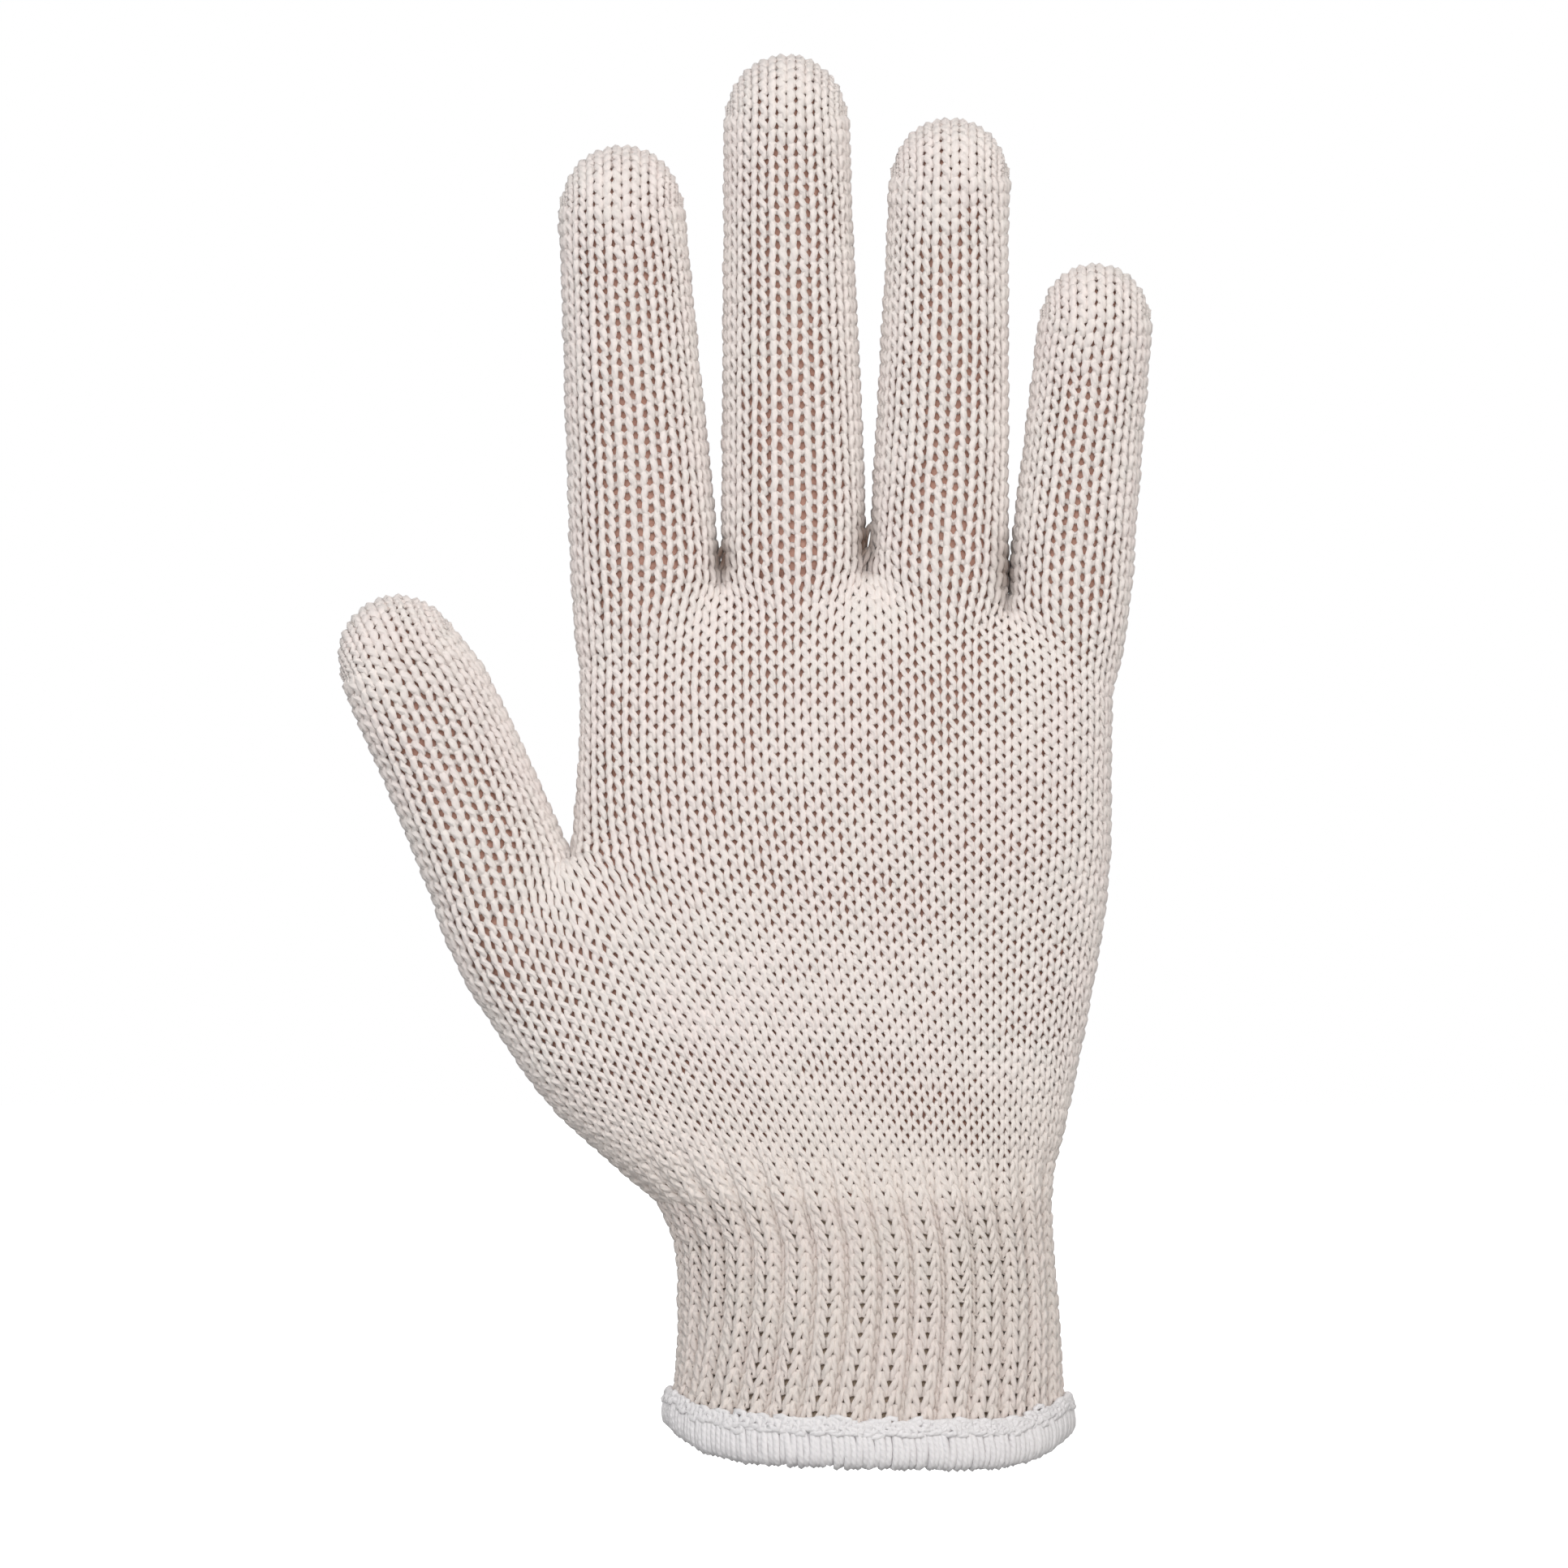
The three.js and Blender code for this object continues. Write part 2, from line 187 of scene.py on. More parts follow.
# z, left, right, depth, square (2 is an ellipse)
KNIT_SECTIONS = np.array([
    (4, -34.2, 34.3, 48.0, 2.1),
    (9, -33.2, 33.4, 46.6, 2.1),
    (17, -32.6, 32.9, 45.0, 2.1),
    (26, -32.6, 32.3, 43.5, 2.1),
    (34, -33.3, 31.7, 41.5, 2.1),
    (38, -34.9, 31.5, 40.5, 2.15),
    (41, -36.4, 31.4, 39.5, 2.2),
    (46, -42.5, 31.9, 37.5, 2.25),
    (54, -50.5, 33.9, 35.0, 2.3),
    (64, -59.4, 35.9, 34.0, 2.3),
    (76, -66.9, 38.3, 33.0, 2.3),
    (88, -72.5, 40.2, 32.0, 2.4),
    (95, -62.0, 40.9, 31.5, 2.5),
    (101, -50.4, 41.4, 31.0, 2.6),
    (116, -49.4, 41.4, 29.5, 2.8),
    (128, -49.1, 41.6, 27.0, 3.1),
    (137, -48.6, 41.3, 22.5, 3.2),
    (145, -45.0, 38.3, 10.0, 3.2),
])
PALM_END_Z = 144.0             # where the palm starts to close between the fingers
PALM_END_LENGTH = 4.6
SIDE_BEND = 9.0                # how far the thumb side curves to the palm side
SIDE_BEND_START = -30.0
SIDE_BEND_REACH = 45.0
WEB_LIFT = (2.4, -0.1, -0.0085)
WEB_LIFT_START = 105.0
ROOT_Z = 148.0
# name, root x, tip x, tip z, root width, tip width, bend, first and last palm wale line, courses,
# tip courses, fullness of the yarn
FINGERS = [
    ("index_finger", -37.8, -42.5, 219.9, 26.0, 21.9, 4.0, 0, 9, 28, 7, 1.07),
    ("middle_finger", -12.5, -14.1, 235.2, 25.6, 21.7, 6.0, 9, 18, 34, 7, 1.05),
    ("ring_finger", 12.1, 14.1, 224.5, 24.7, 21.1, 6.0, 18, 27, 30, 7, 1.09),
    ("little_finger", 34.4, 39.4, 199.9, 21.8, 19.8, 5.0, 27, 35, 22, 6, 1.10),
]
FINGER_DEPTH = 0.88            # of the width
FINGER_START_Z = 140.0
FINGER_BORDERS = (-90.0, -25.0, -0.2, 23.8, 90.0)     # x where neighbouring fingers press on each other
BORDER_ROOM = 0.85             # from the border to the middle of a finger's wall
# The thumb's line: x, z, width, depth; the last row is the centre of its round end.
THUMB_SECTIONS = np.array([
    (-49.5, 70.0, 21.0, 19.0),
    (-56.8, 83.0, 24.7, 23.0),
    (-63.9, 100.0, 24.9, 23.0),
    (-71.1, 117.0, 24.3, 21.8),
    (-75.6, 126.4, 23.8, 20.8),
    (-79.2, 132.8, 21.6, 19.2),
])
ROOT_TAPER = 20.0              # over which a finger or the thumb fades out below its start
SECTION_SAMPLES = 1441
THUMB_COURSES = 20
THUMB_TIP_COURSES = 7
THUMB_LINES = 9                # wale lines that leave the palm for the thumb, on each side
THUMB_CROTCH = (-50.3, 97.2)
FINGER_CROTCHES = [(9, -24.9, 145.0), (18, -0.4, 147.4), (27, 23.4, 140.6)]   # palm line, x, z
OUTER_ROOTS = (145.0, 139.5)   # z of the root line at the index and the little finger's outer side
CROTCH_HALF = 1.5              # half the thickness of the web between two fingers
LOWER_WALES = 90
UPPER_WALES = 72
LOWER_COURSES = 23
UPPER_COURSES = 20
FRONT_LINES = 36               # wale lines on the palm side of the upper palm


def read_sections(sections, at):
    """The columns of a table of sections, read at the places in its first column."""
    return [np.interp(at, sections[:, 0], column) for column in sections.T[1:]]


def side_bend(x):
    """How far the wall at x lies to the palm side."""
    return SIDE_BEND * (np.maximum(0, SIDE_BEND_START - x) / SIDE_BEND_REACH) ** 2


def palm_form(x, y, z):
    """Zero on the middle of the palm's wall, less inside, more outside; y is from the bent middle."""
    share = np.clip((z - WEB_LIFT_START) / (ROOT_Z - WEB_LIFT_START), 0, 1)
    across = np.clip(x, FINGER_CROTCHES[0][1], FINGER_CROTCHES[2][1])
    lift = WEB_LIFT[0] + WEB_LIFT[1] * across + WEB_LIFT[2] * across**2
    level = z - share**2 * (3 - 2 * share) * lift
    left, right, depth, square = read_sections(KNIT_SECTIONS, level)
    half_width = (right - left) / 2 - INSET
    half_depth = depth / 2 - INSET
    sides = np.abs((x - (left + right) / 2) / half_width) ** square
    sides += np.abs(y / half_depth) ** square
    sides += (np.maximum(0, level - PALM_END_Z) / PALM_END_LENGTH) ** square
    return (sides ** (1 / square) - 1) * half_depth


def finger_sizes(finger, z):
    """Centre x, centre y, half width and half depth of a finger at height z."""
    _, root_x, tip_x, tip_z, root_width, tip_width, bend = finger[:7]
    shoulder = tip_z - tip_width / 2
    share = np.maximum(0, (z - ROOT_Z) / (tip_z - ROOT_Z))
    widening = np.clip((z - ROOT_Z) / (shoulder - ROOT_Z), 0, 1)
    half = (root_width + (tip_width - root_width) * widening) / 2
    centre_x = root_x + (tip_x - root_x) * (z - ROOT_Z) / (tip_z - ROOT_Z)
    return centre_x, -bend * share**2, half, half * FINGER_DEPTH


def finger_form(finger, x, y, z):
    centre_x, centre_y, half, deep = finger_sizes(finger, z)
    half, deep = half - INSET, deep - INSET
    shoulder = finger[3] - finger[5] / 2
    past = np.maximum(0, z - shoulder) / half + np.maximum(0, FINGER_START_Z - z) / ROOT_TAPER
    return (np.sqrt(((x - centre_x) / half) ** 2 + ((y - centre_y) / deep) ** 2 + past**2) - 1) * deep


thumb_start = THUMB_SECTIONS[0, :2]
thumb_along = THUMB_SECTIONS[-1, :2] - thumb_start
thumb_length = np.linalg.norm(thumb_along)
thumb_along = thumb_along / thumb_length
thumb_across = np.array([thumb_along[1], -thumb_along[0]])
# distance along the thumb, offset of its middle, width, depth
thumb_table = np.column_stack([
    (THUMB_SECTIONS[:, :2] - thumb_start) @ thumb_along,
    (THUMB_SECTIONS[:, :2] - thumb_start) @ thumb_across,
    THUMB_SECTIONS[:, 2:],
])


def thumb_form(x, y, z):
    from_start = np.stack([x - thumb_start[0], z - thumb_start[1]], -1)
    along = from_start @ thumb_along
    middle, width, depth = read_sections(thumb_table, along)
    half, deep = width / 2 - INSET, depth / 2 - INSET
    across = (from_start @ thumb_across - middle) / half
    past = np.maximum(0, along - thumb_length) / half + np.maximum(0, -along) / ROOT_TAPER
    return (np.sqrt(across**2 + (y / deep) ** 2 + past**2) - 1) * deep


def joined(first, second, radius):
    """Two forms joined with a soft inner corner."""
    near = np.maximum(0, radius - np.abs(first - second)) / radius
    return np.minimum(first, second) - near**2 * radius / 4


FINGER_SOFTNESS = 1.0
THUMB_SOFTNESS = 1.5
THUMB_OWNER = 4                # the tubes that own stitches; 0 to 3 are the fingers
PALM_OWNER = 5                 # with the cuff


def knit_form(owner, points):
    """The form that the stitches of one owner lie on."""
    x, y, z = points.T
    y = y + side_bend(x)
    palm = palm_form(x, y, z)
    if owner < THUMB_OWNER:
        return joined(palm, finger_form(FINGERS[owner], x, y, z), FINGER_SOFTNESS)
    thumb = thumb_form(x, y, z)
    if owner == THUMB_OWNER:
        return joined(palm, thumb, THUMB_SOFTNESS)
    fingers = np.min([finger_form(finger, x, y, z) for finger in FINGERS], axis=0)
    return joined(joined(palm, fingers, FINGER_SOFTNESS), thumb, THUMB_SOFTNESS)


corners = []                   # arrays of stitch corners, in mm
owners = []
held = []                      # corners that stay where they are put


def new_corners(points, owner, fixed=False):
    """Numbers of new stitch corners, in the shape of the array of their places."""
    points = np.asarray(points, float)
    start = sum(len(block) for block in corners)
    count = points[..., 0].size
    corners.append(points.reshape(-1, 3))
    owners.append(np.full(count, owner))
    held.append(np.broadcast_to(fixed, points.shape[:-1]).ravel())
    return start + np.arange(count).reshape(points.shape[:-1])


def section_outline(level, angle, out):
    """x and y on the outline of the palm or cuff at a height, moved out, before the side bends."""
    left, right, depth, square = read_sections(KNIT_SECTIONS, level)
    c, s = np.cos(angle), np.sin(angle)
    x = (left + right) / 2 - ((right - left) / 2 + out) * np.sign(c) * np.abs(c) ** (2 / square)
    return x, -(depth / 2 + out) * np.sign(s) * np.abs(s) ** (2 / square)


def way_along(points):
    """The distance along a line of points, at each point."""
    return np.concatenate([[0], np.cumsum(np.linalg.norm(np.diff(points, axis=0), axis=1))])


def section_ring(level, places, inset=INSET):
    """Points round the palm or cuff at a height, at shares of the way from the left edge round the front."""
    outline = np.stack(section_outline(level, np.linspace(0, TAU, SECTION_SAMPLES), -inset), -1)
    way = way_along(outline)
    at = np.mod(places, 1) * way[-1]
    x, y = [np.interp(at, way, column) for column in outline.T]
    return np.stack([x, y - side_bend(x), np.full(len(x), float(level))], -1)


def even_places(count):
    """Even shares of the way round."""
    return (np.arange(count) + 0.5) / count


def tube_ring(count, half, deep, tip_share):
    """across, deep and rise of the wale lines round a tube; tip_share is 1 at the top of its round end."""
    reach = np.pi / 2 - np.pi / count
    angle = np.linspace(-reach, reach, count // 2)
    close = np.cos(tip_share * np.pi / 2)
    across = (half - INSET) * np.sin(angle)
    front = -(deep - INSET) * np.cos(angle) * close
    up = (half - INSET) * np.cos(angle) * np.sin(tip_share * np.pi / 2)
    halves = ((across, 1), (front, -1), (up, 1))
    return [np.concatenate([values, sign * values[::-1]]) for values, sign in halves]


# The rows of the cuff, which is knitted in rib with an elastic thread: each rib has three wales, a raised one
# and two that lie back in the valley. Every tube above it grows from its top row.
RIBS = 30
CUFF_COURSES = 16
CUFF_START_Z = 4.0
CUFF_END_Z = 41.0
CUFF_COURSE_BELOW = 2.3        # from the cuff's first row down to the one that the hem hides
RIB_LINES = np.array([0.0, 0.52, 0.76])     # places of a rib's three lines, as shares of the rib
RIB_START = 1 / 6              # place of the first rib, in ribs
VALLEY_DEPTH = 1.9
RIB_FADE = (0.85, 0.6, 0.35, 0.15)     # depth of the ribs in the palm's first rows, of the full depth
RIB_LEAN = 0.62                # ribs that the cuff's edge is turned by
RIB_LEAN_CURVE = 1.6
RIB_LEAN_START = 34.0
HEM_RISE = 2.2                 # of the cuff's edge at the sides
HEM_FALL = 3.4                 # of the cuff's edge at the front and back
HEM_TILT = 0.8                 # how much higher the edge is at the thumb side
HEM_CURVE = 6.0
HEM_FADE = 22.0                # height over which the cuff's courses become level
CUFF_HALF = 33.6


def edge_lift(x, level):
    """The cuff's edge hangs lower at the front and back than at the sides."""
    side = np.minimum(1, np.abs(x / CUFF_HALF)) ** HEM_CURVE
    lift = HEM_RISE * side - HEM_FALL * (1 - side) - HEM_TILT * x / CUFF_HALF
    return lift * np.clip(1 - level / HEM_FADE, 0, 1)


def cuff_row(level):
    """Stitch corners of the cuff at a height."""
    share = max(0, RIB_LEAN_START - level) / (RIB_LEAN_START - CUFF_START_Z)
    turn = RIB_LEAN * share**RIB_LEAN_CURVE
    places = (np.arange(RIBS)[:, None] + RIB_LINES + RIB_START - turn).ravel() / RIBS
    row = section_ring(level, places)
    row[2::3] = section_ring(level, places[2::3], inset=INSET + VALLEY_DEPTH)
    row[:, 2] += edge_lift(row[:, 0], level)
    return row


cuff_levels = np.linspace(CUFF_START_Z, CUFF_END_Z, CUFF_COURSES + 1)
cuff_grid = new_corners([cuff_row(level) for level in cuff_levels], PALM_OWNER, fixed=True)
cuff_below = new_corners(cuff_row(CUFF_START_Z - CUFF_COURSE_BELOW), PALM_OWNER, fixed=True)

# The rows of the upper palm, the tube of yarn between the thumb crotch and the finger crotches. Its lowest
# row is shared with the lower palm and its highest row with the fingers, which are knitted on to it.
UPPER_FORM_START = 101         # heights in the table of sections that the rows are first laid on
UPPER_FORM_RISE = 40
UPPER_FORM_END = 137
line_z = np.interp(
    np.arange(FRONT_LINES),
    [0, *[c[0] for c in FINGER_CROTCHES], FRONT_LINES - 1],
    [OUTER_ROOTS[0], *[c[2] for c in FINGER_CROTCHES], OUTER_ROOTS[1]],
)
line_z = np.concatenate([line_z, line_z[::-1]])
upper_rows = []
for course in range(UPPER_COURSES + 1):
    share = course / UPPER_COURSES
    level = min(UPPER_FORM_START + UPPER_FORM_RISE * share, UPPER_FORM_END)
    ring = section_ring(level, even_places(UPPER_WALES))
    ring[:, 2] = THUMB_CROTCH[1] + (line_z - THUMB_CROTCH[1]) * share
    upper_rows.append(ring)
in_crotch = np.zeros((UPPER_COURSES + 1, UPPER_WALES), bool)
for row, line, x, z in [*[(-1, *crotch) for crotch in FINGER_CROTCHES], (0, 0, *THUMB_CROTCH)]:
    for side, wale in ((-1, line), (1, -1 - line)):
        upper_rows[row][wale] = (x, side * CROTCH_HALF - side_bend(x), z)
        in_crotch[row, wale] = True
upper_grid = new_corners(upper_rows, PALM_OWNER, fixed=in_crotch)


# The rows of the four fingers, each a tube of yarn that is knitted on to the palm's last row: courses round
# the tube, then courses that go over the tip, where front and back meet and the yarn is drawn shut.
def tube_grid(root, owner, courses, tip_courses, ring):
    """Rows of a tube above its root row; ring gives the places of a course."""
    rows = [root]
    half = len(root) // 2
    for course in range(1, courses + tip_courses + 1):
        tip_share = max(0, course - courses) / tip_courses
        numbers = new_corners(ring(min(1, course / courses), tip_share), owner, fixed=course >= courses)
        if tip_share == 1:
            numbers[half:] = numbers[:half][::-1]
        rows.append(numbers)
    return np.array(rows)


def finger_ring(finger, share, tip_share):
    """Corners of a finger's course, at a share of the way up to its shoulder."""
    z = ROOT_Z + (finger[3] - finger[5] / 2 - ROOT_Z) * share
    centre_x, centre_y, half, deep = finger_sizes(finger, z)
    across, front, up = tube_ring(2 * (finger[8] - finger[7] + 1), half, deep, tip_share)
    x = centre_x + across
    return np.stack([x, centre_y + front - side_bend(x), z + up], -1)


def finger_wales(row, finger):
    """The corners of a palm row that belong to a finger, at the front and then at the back."""
    first, last = finger[7:9]
    return np.concatenate([row[first:last + 1], row[UPPER_WALES - 1 - last:UPPER_WALES - first]])


finger_grids = [
    tube_grid(finger_wales(upper_grid[-1], finger), owner, *finger[9:11], partial(finger_ring, finger))
    for owner, finger in enumerate(FINGERS)
]

# The rows of the thumb, which is made as a finger along a slanting line. Its lowest row is the part of the
# lower palm's last row that the upper palm leaves free.
THUMB_ROOT_ALONG = 23.0


def thumb_ring(share, tip_share):
    """Corners of a course of the thumb."""
    along = THUMB_ROOT_ALONG + (thumb_length - THUMB_ROOT_ALONG) * share
    middle, width, depth = read_sections(thumb_table, along)
    across, front, up = tube_ring(2 * THUMB_LINES + 2, width / 2, depth / 2, tip_share)
    flat = thumb_start + np.outer(along + up, thumb_along) + np.outer(middle + across, thumb_across)
    return np.stack([flat[:, 0], front - side_bend(flat[:, 0]), flat[:, 1]], -1)


thumb_root = new_corners(thumb_ring(0, 0), PALM_OWNER)
thumb_root[THUMB_LINES:THUMB_LINES + 2] = upper_grid[0, [0, -1]]
thumb_grid = tube_grid(thumb_root, THUMB_OWNER, THUMB_COURSES, THUMB_TIP_COURSES, thumb_ring)

# The rows of the lower palm, the widest tube of yarn, from the cuff's top row up to the row where thumb and
# upper palm part.
lower_top = np.concatenate([thumb_grid[0, :THUMB_LINES], upper_grid[0], thumb_grid[0, THUMB_LINES + 2:]])
all_corners = np.concatenate(corners)
start_row, end_row = all_corners[cuff_grid[-1]], all_corners[lower_top]
lower_rows = [cuff_grid[-1]]
for course in range(1, LOWER_COURSES):
    share = course / LOWER_COURSES
    lower_rows.append(new_corners(start_row + (end_row - start_row) * share, PALM_OWNER))
lower_grid = np.array([*lower_rows, lower_top])

place = np.concatenate(corners)
owner_of = np.concatenate(owners)
is_held = np.concatenate(held)
knit_grids = [cuff_grid, lower_grid, upper_grid, thumb_grid, *finger_grids]

# The tension of the worn knit: yarn between neighbouring corners pulls them together, more along the wales
# than along the courses, while the worn form keeps them on the middle of the wall.
ACROSS_PULL = 0.45
STITCH_WIDTH = 2.86            # of a stitch at rest
STITCH_HEIGHT = 2.41
SIDE_PULL = 0.60               # how much more it pulls at the sides of fingers and thumb
WEB_PULL = 1.6                 # of the stitches right at the sides, which lie between two fingers
links, stiffness = [], []
for grid in knit_grids:
    pull = np.full(grid.shape, ACROSS_PULL)
    if grid.shape[1] < UPPER_WALES:
        half = grid.shape[1] // 2
        turned = (np.arange(half) + 0.5) / half * np.pi
        pull *= np.tile(1 + SIDE_PULL * np.cos(turned) ** 2, 2)
        pull[:, [half - 1, -1]] *= WEB_PULL
    across = (grid, np.roll(grid, -1, axis=1), pull, STITCH_WIDTH)
    along = (grid[:-1], grid[1:], np.ones(grid[1:].shape), STITCH_HEIGHT)
    for first, second, pull, rest in (across, along):
        links.append(np.stack([first.ravel(), second.ravel()], -1))
        stiffness.append(pull.ravel() / rest)
links = np.concatenate(links)
ends = np.concatenate([links, links[:, ::-1]])
stiffness = np.tile(np.concatenate(stiffness), 2)
groups = [np.flatnonzero((owner_of == owner) & ~is_held) for owner in range(PALM_OWNER + 1)]
PROBE = 0.05
RELAX_ROUNDS = 300
RELAX_STEP = 0.8
RELAX_MOMENTUM = 0.9
RELAX_CALM_ROUNDS = 20         # at the start, without momentum
SLOPE_LIMIT = 0.05
PLACE_JITTER = 0.055           # of each corner that is free, mm


def onto_form(points, owner):
    """One step of the points along the form's slope to the middle of the wall."""
    here = knit_form(owner, points)
    slope = np.stack(
        [(knit_form(owner, points + PROBE * axis) - here) / PROBE for axis in np.eye(3)], -1
    )
    slope_square = np.maximum(SLOPE_LIMIT, (slope**2).sum(-1))
    return points - (here / slope_square)[:, None] * slope


before = place.copy()
for turn in range(RELAX_ROUNDS):
    drawn = place[ends[:, 1]]
    pull = stiffness * np.linalg.norm(drawn - place[ends[:, 0]], axis=1)
    mean = np.stack(
        [np.bincount(ends[:, 0], pull * column, minlength=len(place)) for column in drawn.T], -1
    )
    mean /= np.maximum(1e-6, np.bincount(ends[:, 0], pull, minlength=len(place)))[:, None]
    momentum = RELAX_MOMENTUM if turn > RELAX_CALM_ROUNDS else 0
    pulled = place + RELAX_STEP * (mean - place) + momentum * (place - before)
    before = place.copy()
    place = np.where(is_held[:, None], place, pulled)
    for owner, members in enumerate(groups):
        place[members] = onto_form(place[members], owner)
        if owner < THUMB_OWNER:
            left_border = FINGER_BORDERS[owner] + BORDER_ROOM
            right_border = FINGER_BORDERS[owner + 1] - BORDER_ROOM
            place[members, 0] = np.clip(place[members, 0], left_border, right_border)


def outward_directions():
    """The outward direction at every corner, from the faces round it."""
    total = np.zeros_like(place)
    for grid in knit_grids:
        low_left, up_left = grid[:-1], grid[1:]
        low_right, up_right = np.roll(low_left, -1, axis=1), np.roll(up_left, -1, axis=1)
        face = np.cross(place[low_right] - place[up_left], place[up_right] - place[low_left])
        for corner in (low_left, up_left, low_right, up_right):
            for axis in range(3):
                total[:, axis] += np.bincount(
                    corner.ravel(), face[..., axis].ravel(), minlength=len(place)
                )
    total /= np.maximum(1e-9, np.linalg.norm(total, axis=1))[:, None]
    total[cuff_below] = total[cuff_grid[0]]
    return total


outward = outward_directions()
for course, share in enumerate(RIB_FADE, 1):
    valley = lower_grid[course, 2::3]
    place[valley] -= outward[valley] * VALLEY_DEPTH * share
outward = outward_directions()
place += dice.normal(0, PLACE_JITTER, place.shape) * ~is_held[:, None]

# The knit: each course is one strand of string yarn, drawn up through the heads of the course below. A stitch
# has two feet, two legs that stand out on the outside and a head that lies back behind the next legs.
YARN_RADIUS = 0.595
YARN_SIDES = 5
LEAN = 0.11                    # how far feet come together and heads open, as a share of a wale
LEAN_LIMITS = (0.035, 0.14)
LEAN_STRETCH = 3               # power by which the lean falls as stitches are stretched sideways
TENSION_WAVES = 8
TENSION_ROUNDS = (1, 7)        # waves round a tube, at least and less than
TENSION_CLIMB = 0.6            # most turn of a wave from course to course
TENSION_CHANGE = 0.05          # of the yarn's radius
STRETCH_THINNING = 0.12        # power by which yarn gets thinner as stitches are stretched sideways
GIRTH_LIMITS = (0.5, 1.04)     # of the yarn's radius, from crowded to open stitches
CROWDING_LIMIT = 0.35          # how far crowded stitches still stand out
# How much stitches differ from each other, as standard deviations: shares of a stitch's width and height, of
# its distance outwards and of the yarn's radius, with OUT_SHIFT in mm.
LEAN_NOISE = 0.015
ACROSS_NOISE = 0.019
UP_NOISE = 0.03
OUT_NOISE = 0.12
OUT_SHIFT = 0.05
GIRTH_NOISE = 0.03
WAVER_NOISE = 0.12             # along the yarn
WAVER_LENGTH = 7               # points of the path
ROW_LIMITS = (-0.99, 1.99)     # a stitch reaches less than one row past its own
# Where a strand runs straight on at the side of a tip: its height, and how it turns outwards.
CLOSED_UP = -0.15
CLOSED_OUT = (0.9, -0.5)
# The points of a stitch from one sinker to the next: across as a share of its width, lean, up as a share of
# its height, out in mm, girth. Its legs bow apart half way up, so that each column of legs is a wavy rope.
STITCH_PATH = np.array([
    (0.00, 0.0, -0.42, -0.70, 0.86),
    (0.25, 1.15, -0.06, 0.16, 0.96),
    (0.25, 0.7, 0.24, 0.30, 1.0),
    (0.25, -1.15, 0.64, 0.32, 1.0),
    (0.25, -0.1, 0.98, 0.00, 0.96),
    (0.50, -0.2, 1.15, -0.65, 0.86),
    (0.75, -0.4, 0.98, 0.00, 0.96),
    (0.75, 0.7, 0.64, 0.30, 1.0),
    (0.75, -0.4, 0.24, 0.28, 1.0),
    (0.75, -0.65, -0.06, 0.14, 0.96),
])
# Fingers and thumb stretch the knit sideways: their legs stand upright and the yarn between them shows.
FINGER_PATH = np.array([
    (0.00, 0.0, -0.36, -0.52, 0.84),
    (0.25, 1.1, -0.08, 0.12, 0.94),
    (0.25, 0.7, 0.24, 0.34, 1.0),
    (0.25, -0.9, 0.64, 0.38, 1.0),
    (0.25, 0.0, 0.98, -0.08, 0.94),
    (0.50, -0.2, 1.13, -0.50, 0.84),
    (0.75, -0.4, 0.98, -0.08, 0.94),
    (0.75, 0.5, 0.64, 0.38, 1.0),
    (0.75, -0.4, 0.24, 0.34, 1.0),
    (0.75, -0.7, -0.08, 0.12, 0.94),
])
# In the cuff the yarn is drawn in by elastic: longer legs lean more and lie side by side.
CUFF_PATH = np.array([
    (0.00, 0.0, -0.30, -0.55, 0.86),
    (0.25, 1.6, -0.16, -0.05, 0.90),
    (0.25, 0.7, 0.25, 0.32, 1.0),
    (0.25, -0.8, 0.76, 0.36, 1.0),
    (0.25, -1.3, 1.16, 0.02, 0.90),
    (0.50, 0.0, 1.18, -0.55, 0.86),
    (0.75, 1.3, 1.16, 0.02, 0.90),
    (0.75, 0.8, 0.76, 0.36, 1.0),
    (0.75, -0.7, 0.25, 0.32, 1.0),
    (0.75, -1.6, -0.16, -0.05, 0.90),
])


def unit(vectors):
    return vectors / np.maximum(1e-9, np.linalg.norm(vectors, axis=-1, keepdims=True))


def smoothed(values, width):
    """Values averaged over a width of samples along closed strands."""
    kernel = np.zeros(values.shape[1])
    kernel[:width] = 1 / width
    kernel = np.roll(kernel, -(width // 2))
    return np.real(np.fft.ifft(np.fft.fft(values, axis=1) * np.fft.fft(kernel), axis=1))


def slow_change(courses, wales):
    """Changes of the knit's tension from place to place, mostly between -1 and 1."""
    course, turn = np.mgrid[0:courses, 0:wales]
    total = np.zeros((courses, wales))
    for _ in range(TENSION_WAVES):
        rounds = dice.integers(*TENSION_ROUNDS)
        climb = dice.uniform(-TENSION_CLIMB, TENSION_CLIMB)
        total += np.sin(rounds * turn / wales * TAU + climb * course + dice.uniform(0, TAU))
    return total * (2 / TENSION_WAVES) ** 0.5


